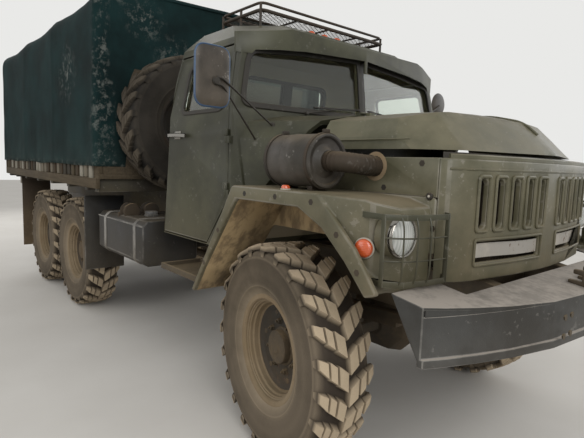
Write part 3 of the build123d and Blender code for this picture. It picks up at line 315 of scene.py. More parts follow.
# Waxed canvas; the attribute scuffed says where it is worn pale
def makeCanvas():
    tree, sockets = startMaterial("canvasCloth", 0.9, Specular_IOR_Level=0.12)
    wear = wearOf(tree, (1.4, 1.9), 0.25, 0.35)
    threads = placeGroup(tree, weave, count=1300.0)["threads"]
    scratch = times(attribute(tree, "scuffed"), ramp(noiseOf(objectPlace(tree), 16.0, 9.0, 0.78), 0.5, 0.6))
    colour = blend(ramp(wear["blotch"], 0.3, 0.7), rgb("#0c1a1a"), rgb("#142a2a"))
    colour = blend(times(wear["dust"], 0.5), colour, rgb("canvasPale"))
    colour = blend(scratch, colour, rgb("#8f9089"))
    surface(sockets, colour, plus(threads, times(wear["blotch"], 3.0)), 0.35, 0.0015)


# Old boards and seat covers: grain, for boards with cracks, and dust
def makeGrained(name, pale, dark, cracked):
    tree, sockets = startMaterial(name, 0.85, Specular_IOR_Level=0.15)
    wear, wood = wearOf(tree, (0.8, 1.8), 0.4, 0.4, 0.2), placeGroup(tree, woodGrain)
    colour = blend(ramp(wood["grain"], 0.3, 0.7) if cracked else wear["blotch"], rgb(dark), rgb(pale))
    if cracked:
        colour = blend(wood["crack"], colour, rgb("#1d1813"))
    colour = blend(wear["dust"], colour, rgb("dust"))
    surface(sockets, colour, plus(wood["grain"], wear["grain"]), 0.5)


# Slats of several tones, dark to pale; the attribute shade, one value a slat, picks the tone
def makeSlats():
    tree, sockets = startMaterial("slatMix", 0.88, Specular_IOR_Level=0.15)
    wear = wearOf(tree, (1.3, 1.6), 0.3, 0.4, 0.3)
    mixed = makeNode(tree, "ValToRGB", {"Fac": attribute(tree, "shade")})
    stops = mixed.color_ramp.elements
    mixed.color_ramp.interpolation = "CONSTANT"
    for place, code in ((0.0, "#3a362f"), (0.22, "#6f685b"), (0.45, "#3f3529"), (0.62, "#8d887c"), (0.8, "#4a4234")):
        stop = stops.new(place) if place else stops[0]
        stop.color = rgb(code)
    stops.remove(stops[-1])
    worn = calc("MAXIMUM", wear["dust"], times(wear["blotch"], 0.4))
    colour = blend(worn, mixed.outputs["Color"], rgb("wood"))
    surface(sockets, colour, plus(wear["grain"], wear["blotch"]), 0.5)


# Window glass, ribbed lamp glass and ringed amber lenses
def makeGlass():
    tree, sockets = startMaterial("windowGlass", 0.03, Transmission_Weight=1.0, IOR=1.45)
    dust = wearOf(tree, (1.8, 2.2), 0.3, 0.2)["dust"]
    feed(blend(times(dust, 0.5), rgb("#dfe6df"), rgb("#a9a596")), sockets["Base Color"])
    feed(ramp(dust, 0.0, 1.0, 0.02, 0.2), sockets["Roughness"])

    tree, sockets = startMaterial("lampGlass", 0.12, Transmission_Weight=0.55, IOR=1.45)
    ribs = calc("SINE", times(axesOf(objectPlace(tree))["Y"], 420.0))
    surface(sockets, blend(ramp(ribs, -1.0, 1.0), rgb("#d9dcd6"), rgb("#f4f5f1")), ribs, 0.25, 0.001)

    tree, sockets = startMaterial("amberLens", 0.2, Coat_Weight=0.6)
    rings = calc("SINE", times(axesOf(objectPlace(tree))["Z"], 900.0))
    dull = plus(times(rings, 0.1), times(wearOf(tree, (0.9, 2.6), 0.3, 0.2)["dust"], 0.4), clamp=True)
    surface(sockets, blend(dull, rgb("amber"), rgb("#7c4a30")), rings, 0.3, 0.001)


for name, look in paints.items():
    weathered(name, *look, **extras.get(name, {}))
makeRubber("tyreRubber", 1.0, "#211d19", "#332d28")
# The spare's rubber is darker and carries little dust: painted shade, as the spare lies in shadow
makeRubber("spareRubberShaded", 0.15, "#191817", "#2b2926")
makeGrained("boards", "woodPale", "wood", True)
makeGrained("seatCover", "trim", "chassis", False)
for make in (makeCanvas, makeSlats, makeGlass):
    make()
for name in ("cab_glass", "door_glass_left", "door_glass_right"):  # the nodes shown as the CAD has them
    for held in nodes[name].material_slots:
        held.material = finishes["windowGlass"]
print("finishes made,", len(finishes))


# Making meshes

def addObject(name, data):
    thing = bpy.data.objects.new(name, data)
    bpy.context.scene.collection.objects.link(thing)
    return thing


def fromBm(bm, name):
    mesh = bpy.data.meshes.new(name)
    bm.to_mesh(mesh)
    bm.free()
    return mesh


def smoothed(mesh, sharp):
    for face in mesh.polygons:
        face.use_smooth = True
    mesh.set_sharp_from_angle(angle=radians(sharp))
    return mesh


def toMesh(bm, name, finishNames, sharp=35):
    bmesh.ops.remove_doubles(bm, verts=bm.verts, dist=2e-6)
    bmesh.ops.recalc_face_normals(bm, faces=bm.faces)
    mesh = smoothed(fromBm(bm, name), sharp)
    for finish in finishNames:
        mesh.materials.append(finishes[finish])
    return mesh


# A finished piece: where it rides and the nodes it stands for
def settle(name, mesh, body="truck", stands=()):
    piece = addObject(name, mesh)
    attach(piece, body)
    if stands:
        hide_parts(*stands)
    return piece


def complete(name, bm, finishNames, body="truck", stands=(), sharp=35):
    return settle(name, toMesh(bm, name, finishNames, sharp), body, stands)


def moved(x, y, z):
    return Matrix.Translation((x, y, z))


def spin(degrees, axis):
    return Matrix.Rotation(radians(degrees), 4, axis)


def facesBetween(bm, rings, closedAcross, closedAlong, finish=0):
    count = len(rings[0])
    made = []
    pairs = list(zip(rings, rings[1:])) + ([(rings[-1], rings[0])] if closedAlong else [])
    for here, there in pairs:
        for i in range(count if closedAcross else count - 1):
            j = (i + 1) % count
            made.append(bm.faces.new((here[i], here[j], there[j], there[i])))
    if closedAcross and not closedAlong:
        made += [bm.faces.new(rings[0]), bm.faces.new(rings[-1])]
    for face in made:
        face.material_index = finish
    return made


# A turned form: (radius, place along) pairs turned round the local Y axis
def turn(bm, profile, segments=48, at=Matrix(), ring=False, finish=0, dusty=None):
    layer = bm.verts.layers.float.get("dusty")
    rings = []
    for k in range(segments):
        angle = 2 * pi * k / segments
        rings.append([bm.verts.new(at @ Vector((r * cos(angle), y, r * sin(angle)))) for r, y in profile])
        if layer and dusty:
            for vert, amount in zip(rings[-1], dusty):
                vert[layer] = amount
    facesBetween(bm, rings, ring, True, finish)
    if not ring:
        for end in (0, -1):
            if profile[end][0] > 1e-5:
                bm.faces.new([each[end] for each in rings]).material_index = finish


def disc(radius, count, phase=0.0):
    return [(radius * cos(2 * pi * k / count + phase), radius * sin(2 * pi * k / count + phase))
            for k in range(count)]


def bar(width, height, corner=0.001):
    w, h = width / 2, height / 2
    return [(-w + corner, -h), (w - corner, -h), (w, -h + corner), (w, h - corner), (w - corner, h), (-w + corner, h),
            (-w, h - corner), (-w, -h + corner)]


# A line with its corners rounded to curves
def rounded(points, bend, steps=5, closed=False):
    points = [Vector(p) for p in points]
    line = [] if closed else [points[0]]
    around = zip(points[-1:] + points[:-1], points, points[1:] + points[:1]) if closed else zip(points, points[1:],
        points[2:])
    for before, here, after in around:
        back, onward = before - here, after - here
        start = here + back.normalized() * min(bend, back.length * 0.49)
        end = here + onward.normalized() * min(bend, onward.length * 0.49)
        for i in range(steps + 1):
            u = i / steps
            line.append(start * (1 - u) ** 2 + here * (2 * u * (1 - u)) + end * u * u)
    return line if closed else line + [points[-1]]


# A section, as (across, up) pairs, carried along a line
def carry(bm, line, section, up=(0, 0, 1), closed=False, finish=0, sizes=None):
    line = [Vector(p) for p in line]
    side, rings, count = None, [], len(line)
    for i, place in enumerate(line):
        ahead = (line[(i + 1) % count] - line[i - 1]) if closed else (line[min(i + 1, count - 1)]
            - line[max(i - 1, 0)])
        ahead.normalize()
        if side is None:
            side = ahead.cross(Vector(up))
        side = (side - ahead * side.dot(ahead)).normalized()
        lift = side.cross(ahead)
        size = sizes[i] if sizes else 1.0
        rings.append([bm.verts.new(place + (side * a + lift * b) * size) for a, b in section])
    facesBetween(bm, rings, True, closed, finish)


# A section carried round an opening whose corners are rounded
def band(bm, corners, bend, section, up=(0, 0, 1), steps=5):
    carry(bm, rounded(corners, bend, steps, closed=True), section, up, closed=True)


# A block with its edges rounded off
def slab(bm, low, high, edge=0.002, at=Matrix(), finish=0):
    made = bmesh.ops.create_cube(bm, size=1.0)["verts"]
    low, high = Vector(low), Vector(high)
    for vert in made:
        vert.co = Vector([l + (h - l) * (c + 0.5) for l, h, c in zip(low, high, vert.co)])
    edges = list({e for v in made for e in v.link_edges})
    result = bmesh.ops.bevel(bm, geom=edges, offset=min(edge, min(high - low) * 0.3), segments=2, affect="EDGES",
                             profile=0.5)
    verts = {v for f in result["faces"] for v in f.verts} | {v for v in made if v.is_valid}
    for vert in verts:
        vert.co = at @ vert.co
    for face in {f for v in verts for f in v.link_faces}:
        face.material_index = finish


def evaluated(thing, name):
    graph = bpy.context.evaluated_depsgraph_get()
    mesh = bpy.data.meshes.new_from_object(thing.evaluated_get(graph), preserve_all_data_layers=True, depsgraph=graph)
    mesh.name = name
    bpy.data.objects.remove(thing)
    return mesh


# How far an edge can be rounded: the least width of its two faces, measured square to it
def roomAt(edge):
    room = 1.0
    for loop in edge.link_loops:
        along = (loop.link_loop_next.vert.co - loop.vert.co).normalized()
        for beside, other in ((loop.link_loop_prev, loop.link_loop_prev.vert.co - loop.vert.co),
                              (loop.link_loop_next, loop.link_loop_next.link_loop_next.vert.co
                               - loop.link_loop_next.vert.co)):
            toward = along if beside is loop.link_loop_prev else -along
            if toward.dot(other.normalized()) > -0.86:
                room = min(room, toward.cross(other).length)
    return room


def cadForm(node):
    bm = bmesh.new()
    bm.from_mesh(nodes[node].data)
    bmesh.ops.remove_doubles(bm, verts=bm.verts, dist=1e-5)
    bmesh.ops.dissolve_limit(bm, angle_limit=radians(1.0), verts=bm.verts, edges=bm.edges)
    return bm


def sizesOf(mesh):
    low, high = ([pick(v.co[k] for v in mesh.vertices) for k in range(3)] for pick in (min, max))
    return low, high, sum(face.area for face in mesh.polygons)


# Takes from the sharp edges one chain of those that run on into one another
def nextChain(sharp):
    first = sharp.pop()
    chain, pending = [first], [first]
    while pending:
        edge = pending.pop()
        for vert in edge.verts:
            ahead = (vert.co - edge.other_vert(vert).co).normalized()
            for other in list(vert.link_edges):
                if other in sharp and ahead.dot((other.other_vert(vert).co - vert.co).normalized()) > 0.7:
                    sharp.discard(other)
                    chain.append(other)
                    pending.append(other)
    return chain


rounding = {"angle": 22, "share": 0.38, "slack": 0.0005, "growth": 1.012, "again": 0.6, "sharp": 34}
pressing = {"step": 0.03, "rounds": 14, "pull": 0.8, "give": 0.16, "evening": 8, "rim": 62, "slim": 0.03,
            "crease": 50}


# A CAD node's form with its edges rounded; the roundings carry the attribute edge. A rounding that
# leaves the form's box or adds to its area is made again, narrower
def softForm(node, finish, width, segments):
    low, high, area = sizesOf(nodes[node].data)
    for attempt in range(5):
        bm = cadForm(node)
        for face in bm.faces:
            face.material_index = 0
        weight = bm.edges.layers.float.new("bevel_weight_edge")
        sharp = {edge for edge in bm.edges if len(edge.link_faces) == 2
                 and edge.calc_face_angle(0.0) > radians(rounding["angle"])}
        while sharp:
            chain = nextChain(sharp)
            share = min(1.0, rounding["share"] * min(roomAt(edge) for edge in chain) / width)
            for edge in chain:
                edge[weight] = share
        mesh = fromBm(bm, node)
        for side in ("face", "rounding"):
            mesh.materials.append(finishes[finish])
        thing = addObject(node, mesh)
        bevel = thing.modifiers.new("edges", "BEVEL")
        bevel.width, bevel.segments, bevel.limit_method = width, segments, "WEIGHT"
        bevel.material, bevel.use_clamp_overlap = 1, attempt > 0
        mesh = evaluated(thing, node + "Form")
        newLow, newHigh, newArea = sizesOf(mesh)
        slack = rounding["slack"]
        inside = all(newLow[k] > low[k] - slack and newHigh[k] < high[k] + slack for k in range(3))
        if inside and newArea < rounding["growth"] * area:
            break
        width *= rounding["again"]
    edge = mesh.attributes.new("edge", "FLOAT", "FACE")
    for i, face in enumerate(mesh.polygons):
        edge.data[i].value = float(face.material_index == 1)
        face.material_index = 0
    mesh.materials.pop(index=1)
    return smoothed(mesh, rounding["sharp"])


# The mean of each free point's own shift and its neighbours'
def eased(free, shifts):
    return {vert: sum((shifts[edge.other_vert(vert)] for edge in vert.link_edges), shifts[vert].copy())
            / (len(vert.link_edges) + 1) for vert in free}


# A pressed panel: its facets cut fine and smoothed into one another, its rims held where they are
def pressedForm(node, finish):
    bm = cadForm(node)
    layer = bm.edges.layers.int.new("rim")
    for edge in bm.edges:
        edge[layer] = int(edge.calc_face_angle(0.0) > radians(pressing["rim"]))
    for face in bm.faces:  # the thickness of the sheet, seen along the panel's foot and back
        slim = face.calc_area() / max(edge.calc_length() for edge in face.edges) < pressing["slim"]
        if slim and min(face.normal.z, face.normal.x) < -0.5:
            for edge in face.edges:
                edge[layer] = 1
    for k in range(3):
        low, high = min(v.co[k] for v in bm.verts), max(v.co[k] for v in bm.verts)
        count = int((high - low) / pressing["step"])
        axis = Vector([float(i == k) for i in range(3)])
        for i in range(1, count):
            bmesh.ops.bisect_plane(bm, geom=bm.verts[:] + bm.edges[:] + bm.faces[:], dist=0.002,
                                   plane_co=axis * (low + (high - low) * i / count), plane_no=axis)
    held = {vert for edge in bm.edges if edge[layer] for vert in edge.verts}
    free = [vert for vert in bm.verts if vert not in held]
    start = [vert.co.copy() for vert in free]
    near = kdtree.KDTree(len(held))
    for i, vert in enumerate(held):
        near.insert(vert.co, i)
    near.balance()
    for smoothing in range(pressing["rounds"]):
        aims = []
        for vert in free:
            weights = [1.0 / max(edge.calc_length(), 0.012) for edge in vert.link_edges]
            pulls = (edge.other_vert(vert).co * w for edge, w in zip(vert.link_edges, weights))
            aim = sum(pulls, Vector()) / sum(weights)
            aims.append(vert.co + vert.normal * vert.normal.dot(aim - vert.co) * pressing["pull"])
        for vert, aim in zip(free, aims):
            vert.co = aim
        bm.normal_update()
    shifts = {vert: Vector() for vert in held}
    for vert, place in zip(free, start):  # the nearer a rim, the less a place gives
        shift = vert.co - place
        shift.length = min(shift.length, pressing["give"] * near.find(place)[2])
        shifts[vert] = shift
    for evening in range(pressing["evening"]):
        shifts.update(eased(free, shifts))
    for vert, place in zip(free, start):
        vert.co = place + shifts[vert]
    bmesh.ops.triangulate(bm, faces=[face for face in bm.faces if len(face.verts) > 4])
    for edge in bm.edges:
        edge.smooth = not edge[layer] and edge.calc_face_angle(0.0) < radians(pressing["crease"])
    mesh = fromBm(bm, node + "Form")
    mesh.materials.append(finishes[finish])
    for face in mesh.polygons:
        face.material_index = 0
        face.use_smooth = True
    return mesh


# Geometry Nodes: copies of a part round an axis, along a row, or on marked places

def startTree(name, **inputs):
    tree = bpy.data.node_groups.new(name, "GeometryNodeTree")
    tree.interface.new_socket(name="Geometry", in_out="INPUT", socket_type="NodeSocketGeometry")
    for label, kind in dict(inputs, Part="Object", Finish="Material", Seed="Int").items():
        tree.interface.new_socket(name=label, in_out="INPUT", socket_type="NodeSocket" + kind)
    tree.interface.new_socket(name="Geometry", in_out="OUTPUT", socket_type="NodeSocketGeometry")
    return tree, tree.nodes.new("NodeGroupInput").outputs, tree.nodes.new("NodeGroupOutput").inputs


def geo(tree, kind, inputs=None, family="GeometryNode", **settings):
    return makeNode(tree, kind, inputs, family, **settings).outputs[0]


# Every tree ends the same way: instances made real, then their finish
def closeTree(tree, given, result, points, turning):
    source = makeNode(tree, "ObjectInfo", {"Object": given["Part"]}, "GeometryNode").outputs["Geometry"]
    copies = geo(tree, "InstanceOnPoints", {"Points": points, "Instance": source, "Rotation": turning})
    shade = makeNode(tree, "RandomValue", {"Seed": given["Seed"]}, "FunctionNode", data_type="FLOAT").outputs[1]
    stored = {"Geometry": copies, "Name": "shade", "Value": shade}
    marked = geo(tree, "StoreNamedAttribute", stored, data_type="FLOAT", domain="INSTANCE")
    real = geo(tree, "RealizeInstances", {"Geometry": marked})
    feed(geo(tree, "SetMaterial", {"Geometry": real, "Material": given["Finish"]}), result["Geometry"])
    return tree


def makeRingTree():
    tree, given, result = startTree("copiesRoundAxis", Count="Int", Phase="Float")
    points = geo(tree, "MeshLine", {"Count": given["Count"], "Offset": (0.0, 0.0, 0.0)})
    step = calc("DIVIDE", 2 * pi, given["Count"])
    angle = calc("MULTIPLY_ADD", geo(tree, "InputIndex"), step, given["Phase"])
    return closeTree(tree, given, result, points, makeNode(tree, "CombineXYZ", {"Y": angle}).outputs[0])


def makeRowTree():
    tree, given, result = startTree("copiesInRow", Count="Int", Step="Vector", Jitter="Vector", Lean="Float")
    points = geo(tree, "MeshLine", {"Count": given["Count"], "Offset": given["Step"]})
    negative = makeNode(tree, "VectorMath", {0: given["Jitter"], "Scale": -1.0}, operation="SCALE").outputs[0]
    spread = {"Min": negative, "Max": given["Jitter"], "Seed": given["Seed"]}
    shift = geo(tree, "RandomValue", spread, "FunctionNode", data_type="FLOAT_VECTOR")
    scattered = geo(tree, "SetPosition", {"Geometry": points, "Offset": shift})
    leans = {2: times(given["Lean"], -1.0), 3: given["Lean"], "Seed": given["Seed"]}
    lean = makeNode(tree, "RandomValue", leans, "FunctionNode", data_type="FLOAT").outputs[1]
    return closeTree(tree, given, result, scattered, makeNode(tree, "CombineXYZ", {"Y": lean}).outputs[0])


# Copies on the points of a mesh, their own Z axis turned to the point's normal
def makePlacedTree():
    tree, given, result = startTree("copiesOnPlaces")
    facing = geo(tree, "InputNamedAttribute", {"Name": "facing"}, data_type="FLOAT_VECTOR")
    turning = geo(tree, "AlignRotationToVector", {"Vector": facing}, "FunctionNode", axis="Z")
    return closeTree(tree, given, result, given["Geometry"], turning)


ringTree, rowTree, placedTree = makeRingTree(), makeRowTree(), makePlacedTree()


# The mesh that a tree makes of a small part; places are (point, facing) pairs
def copied(tree, part, finish, places=None, **inputs):
    source = addObject("part", part)
    carrierMesh = bpy.data.meshes.new("places")
    if places:
        carrierMesh.from_pydata([p for p, facing in places], [], [])
        layer = carrierMesh.attributes.new("facing", "FLOAT_VECTOR", "POINT")
        for i, (p, facing) in enumerate(places):
            layer.data[i].vector = facing
    carrier = addObject("places", carrierMesh)
    modifier = carrier.modifiers.new("copies", "NODES")
    modifier.node_group = tree
    values = dict(inputs, Part=source, Finish=finishes[finish])
    for socket in tree.interface.items_tree:
        if socket.in_out == "INPUT" and socket.name in values:
            modifier[socket.identifier] = values[socket.name]
    mesh = evaluated(carrier, "copies")
    bpy.data.objects.remove(source)
    return mesh


# Adds a mesh to the one being made, moved by a matrix
def include(bm, mesh, at=Matrix(), finish=0):
    verts, faces = len(bm.verts), len(bm.faces)
    bm.from_mesh(mesh)
    for vert in list(bm.verts)[verts:]:
        vert.co = at @ vert.co
    for face in list(bm.faces)[faces:]:
        face.material_index = finish


# A hexagon bolt head standing on its place along Z
def boltHead(radius=0.011, height=0.008):
    bm = bmesh.new()
    upright = spin(90, "X")
    turn(bm, [(radius * 1.35, 0.0), (radius * 1.35, -0.0015), (radius, -0.0015), (radius, -height * 0.85),
              (radius * 0.85, -height), (0.0, -height)], 6, upright)
    return toMesh(bm, "bolt", ["chassisPaint"])


alongX = spin(-90, "Z")  # local Y to +X


# Tyres and wheels

tyre = {"lugs": 23, "root": 0.53, "top": 0.567, "mean": 0.54, "half": 0.15, "edge": 0.1505, "sweep": 0.1,
        "thick": 0.086}
wheel = {"nuts": 8, "nutRing": 0.135, "hubBolts": 10, "hubRing": 0.068}
axles = {"front": 2.32, "mid": -1.03, "rear": -2.28}
stance = {"track": 0.91, "height": 0.57, "kingpin": 0.79, "steer": -9, "roll": 94, "spare": (0.45, -0.53, 1.85)}


# One arm of the chevron: three blocks from the middle of the tread to the shoulder
def lugArm():
    bm = bmesh.new()
    dusty = bm.verts.layers.float.new("dusty")
    stations = [(0.004, 0.056, 0.0), (0.063, 0.101, 0.004), (0.108, 0.151, 0.016)]
    for k, (near, far, fall) in enumerate(stations):
        lower, upper = [], []
        for y, across in ((near, -1), (near, 1), (far, 1), (far, -1)):
            drift = tyre["sweep"] * y / tyre["half"] - tyre["sweep"] / 2
            wide = tyre["thick"] / 2 * (1.08 - 0.14 * k)
            if k == 2 and y == far:
                wide *= 0.68
            for ring, grow, r, amount in ((lower, 1.12, tyre["root"], 0.1),
                                          (upper, 0.9, tyre["top"] - (fall if y == far else fall * 0.2), 1.0)):
                inset = 0.003 if ring is upper else -0.001
                yy = min(y + inset * (1 if y == near else -1), tyre["edge"])
                t = (drift + across * wide * grow) / tyre["mean"]
                vert = bm.verts.new((r * cos(t), yy, r * sin(t)))
                vert[dusty] = amount * (0.85 if r > 0.55 else 1.0)
                ring.append(vert)
        facesBetween(bm, [lower, upper], True, False)
        if k == 2:  # the shoulder block runs down the sidewall
            foot = [bm.verts.new((0.498 * cos(t), 0.1512, 0.498 * sin(t)))
                    for t in ((tyre["sweep"] / 2 + 0.014) / tyre["mean"], (tyre["sweep"] / 2 - 0.014) / tyre["mean"])]
            head = [upper[2], upper[3]]
            for vert in foot:
                vert[dusty] = 0.5
            for quad in ((head[0], head[1], foot[1], foot[0]), (lower[2], head[0], foot[0]),
                         (head[1], lower[3], foot[1]), (lower[3], lower[2], foot[0], foot[1])):
                bm.faces.new(quad)
    return toMesh(bm, "lugArm", ["tyreRubber"], 30)


def makeTyre():
    half = pairs(530, 0, 530, 40, 530, 80, 529, 110, 524, 130, 514, 142, 500, 147, 490, 150, 480, 149, 450, 149.8,
                 420, 150, 390, 148.5, 360, 144.5, 344, 140.5, 338, 141.5, 332, 136.5, 306, 124, 286, 112, 270, 103,
                 259, 98)
    shade = [0.05, 0.03, 0.03, 0.05, 0.15, 0.25, 0.2, 0.3, 0.16, 0.18, 0.22, 0.2, 0.22, 0.28, 0.4, 0.3, 0.4, 0.5,
             0.55, 0.4]
    profile = [(r, -y) for r, y in reversed(half[1:])] + half
    amounts = list(reversed(shade[1:])) + shade
    profile += [(0.256, 0.09), (0.256, -0.09)]
    bm = bmesh.new()
    bm.verts.layers.float.new("dusty")
    turn(bm, profile, 92, ring=True, dusty=amounts + [0.2, 0.2])
    carcass = toMesh(bm, "carcass", ["tyreRubber"], 50)
    whole = bmesh.new()
    include(whole, carcass)
    for side, phase in ((1, 0.0), (-1, pi / tyre["lugs"])):
        arm = lugArm()
        if side < 0:
            arm.transform(Matrix.Diagonal((1, -1, 1, 1)))
            arm.flip_normals()
        include(whole, copied(ringTree, arm, "tyreRubber", Count=tyre["lugs"], Phase=phase, Seed=3))
    whole.normal_update()
    mesh = smoothed(fromBm(whole, "tyre"), 38)
    mesh.materials.append(finishes["tyreRubber"])
    return mesh


def ringOf(bm, part, count, phase):
    include(bm, copied(ringTree, part, "axleMetal", Count=count, Phase=phase, Seed=1), finish=1)


def makeWheel():
    bm = bmesh.new()
    rim = pairs(104, 13.5, 118, 12, 150, 12, 158, 16, 172, 20, 196, 21, 206, 25, 216, 33, 226, 36, 236, 34, 240, 40,
                241, 64, 246, 70, 249, 72, 250, 86, 256, 92, 262, 94, 264, 108, 270, 116, 284, 118.5, 294, 118, 296.8,
                114, 296, 108, 286, 111, 268, 103, 256, 96, 255.5, -96, 268, -106, 286, -112, 292, -113, 286, -116,
                256, -113, 242, -108, 240, -10, 225, 12, 120, -4, 95, -4, 95, 10)
    turn(bm, rim, 72, ring=True)
    hub = pairs(0, 66, 30, 66, 36, 62, 50, 60, 83, 59, 89, 55, 90.5, 48, 90.5, 20, 103, 17, 105, 12, 98, -23, 0, -23)
    turn(bm, hub, 40, finish=1)
    nut = bmesh.new()
    turn(nut, pairs(20, 0, 20, 4, 14.5, 4, 14.5, 20, 12, 22, 7, 22, 7, 32, 0, 33), 6)
    nutMesh = toMesh(nut, "wheelNut", ["axleMetal"], 25)
    nutMesh.transform(moved(wheel["nutRing"], 0.0118, 0))
    ringOf(bm, nutMesh, wheel["nuts"], 0.2)
    bolt = boltHead(0.0075, 0.006)
    bolt.transform(moved(wheel["hubRing"], 0.0595, 0) @ spin(-90, "X"))
    ringOf(bm, bolt, wheel["hubBolts"], 0.1)
    window = bmesh.new()  # pressed hollows round the disc
    turn(window, pairs(0, 23.5, 10, 23.5, 13.5, 22.5, 15, 19, 0, 18.5), 16, moved(0.184, 0, 0))
    ringOf(bm, toMesh(window, "press", ["axleMetal"]), 6, 0.3)
    # The disc inside the rim's flange takes the darker hub finish
    for face in bm.faces:
        middle = face.calc_center_median()
        if face.material_index == 0 and middle.xz.length < 0.228:
            face.material_index = 2
    return toMesh(bm, "wheel", ["rimPaint", "axleMetal", "hubDark"], 28)


def dressWheels():
    tyreMesh, wheelMesh = makeTyre(), makeWheel()
    roll = spin(stance["roll"], "Y")
    places = []
    for axle, x in axles.items():
        for label, side in (("left", 1), ("right", -1)):
            at = moved(x, side * stance["track"], stance["height"])
            if axle == "front":
                pivot = moved(x, side * stance["kingpin"], 0)
                at = pivot @ spin(stance["steer"], "Z") @ pivot.inverted() @ at
            outward = spin(180 if side < 0 else 0, "Z")
            places.append((axle + "_" + label, at @ roll, at @ outward @ roll, "wheel_" + axle + "_" + label))
    spare = Matrix.Translation(stance["spare"]) @ alongX
    places.append(("spare", spare, spare, "truck"))
    for label, tyreAt, wheelAt, body in places:
        for kind, mesh, at, slot in (("tyre", tyreMesh, tyreAt, "tyre"),
                                     ("wheel", wheelMesh, wheelAt, "wheel_paint")):
            own = mesh.copy()
            own.transform(at)
            # The spare tyre takes the darker rubber, painted shade for the shadow it lies in; its wheel takes the
            # dark chassis paint
            if label == "spare" and kind == "tyre":
                own.materials[0] = finishes["spareRubberShaded"]
            if label == "spare" and kind == "wheel":
                own.materials[0] = finishes["chassisPaint"]
            settle(kind + "Dressed_" + label, own, body, [kind + "_" + label])


dressWheels()
print("tyres and wheels done")


# Painted sheet metal and steelwork: the CAD forms with their edges rounded and worn

softened = [
    # finish, slot, the width of each node's rounded edges
    # the cab and doors take the olive darkened as painted shade, the nose takes the same olive lightened as painted
    # light
    ("bodyPaintShaded", "body_paint", {"cab_shell": 0.022, "door_left": 0.012, "door_right": 0.012}),
    ("nosePaintLit", "body_paint", {"hood": 0.045, "side_panels": 0.004, "grille": 0.01, "fenders": 0.022}),
    ("bumperPaint", "bumper_paint", {"bumper": 0.004}),
    ("chassisPaint", "chassis_paint", {"tow_hooks": 0.004, "frame_rails": 0.003, "crossmembers": 0.003}),
    ("tankPaint", "chassis_paint", {"fuel_tanks": 0.01}),
    ("chassisPaint", "chassis_paint", {"steps": 0.004, "spare_carrier": 0.005}),
    ("bedPaint", "body_paint", {"bed_frame": 0.004}),
    ("boards", "boards", {"bed_sides": 0.004, "bed_floor": 0.003, "tailgate": 0.004}),
    ("chassisPaint", "chassis_paint", {"tarp_bows": 0.005}),
    ("axleMetal", "spring_steel", {"leaf_springs": 0.003}),
    ("bodyPaintShaded", "chassis_paint", {"lamp_guards": 0.0015}),
    ("flapRubber", "flap_rubber", {"mud_flaps": 0.003}),
    ("chassisPaint", "chassis_paint", {"radiator": 0.004}),
    ("axleMetal", "axle_metal", {"winch": 0.004}),
    ("trimBlack", "trim", {"dashboard": 0.01}),
    ("axleMetal", "axle_metal", {"front_axle": 0.008, "rear_axles": 0.008, "knuckle_left": 0.005,
                                 "knuckle_right": 0.005, "driveshafts": 0.004, "powertrain": 0.01}),
    ("axleMetal", "exhaust_metal", {"exhaust": 0.005}),
]
ridesOn = {"door_left": "door_left", "door_right": "door_right", "hood": "hood", "tailgate": "tailgate",
           "knuckle_left": "steer_left", "knuckle_right": "steer_right"}
for finish, slot, widths in softened:
    for node, width in widths.items():
        segments = 4 if width > 0.02 else 2
        form = pressedForm(node, finish) if node == "hood" else softForm(node, finish, width, segments)
        settle(node + "_finished", form, ridesOn.get(node, "truck"), [node])
print("sheet metal done")


# Tarpaulin: one stretched cover over the bows, its front and rear closed

tarp = {"rear": -3.49, "front": 0.245, "hem": 1.48, "curtain": 1.79, "sag": 0.02, "thick": 0.004, "bend": 0.035,
        "stations": 92, "endSteps": 24, "bows": (-3.426, -2.206, -0.986, 0.194),
        "section": pairs(1250, 1480, 1240, 2000, 1236, 2740, 1210, 2830, 1130, 2890, 700, 2945, 0, 2965),
        "scuffs": [(0.245, -1.19, 1.853, 0.16), (0.245, -0.811, 2.705, 0.2), (0.245, -0.537, 2.426, 0.22),
                   (-0.5, -1.24, 2.3, 0.3)]}


# The same line with its points set evenly
def evenly(line, step):
    spans = [(b - a).length for a, b in zip(line, line[1:])]
    count = max(2, round(sum(spans) / step))
    made, at, walked = [], 0, 0.0
    for k in range(count + 1):
        target = min(sum(spans) * k / count, sum(spans) - 1e-9)
        while walked + spans[at] < target:
            walked += spans[at]
            at += 1
        made.append(line[at].lerp(line[at + 1], (target - walked) / spans[at]))
    return made


def ripple(x, y, z):
    return noise.noise(Vector((x, y, z)))


# How far the cover lies out from its section: sag between bows, ripples and a loose hem
def tarpPush(x, y, z):
    bows = tarp["bows"]
    spread = 0.0
    for low, high in zip(bows, bows[1:]):
        if low < x < high:
            spread = sin(pi * (x - low) / (high - low))
    top = min(1.0, max(0.0, (z - 2.62) / 0.22))
    push = -tarp["sag"] * spread ** 1.3 * (0.35 + 0.65 * top)
    push += 0.005 * ripple(x * 1.6, y * 2.1, z * 2.4) + 0.0035 * ripple(x * 4.2 + z * 3.0, y * 3.0, z * 1.4)
    low = max(0.0, 1.0 - (z - tarp["hem"]) / 0.5)
    push += low * (0.01 * ripple(x * 5.5, 1.0, z * 0.8) - 0.005)
    for bow in bows:
        push += 0.003 * max(0.0, 1.0 - abs(x - bow) / 0.05)
    return push - 0.006


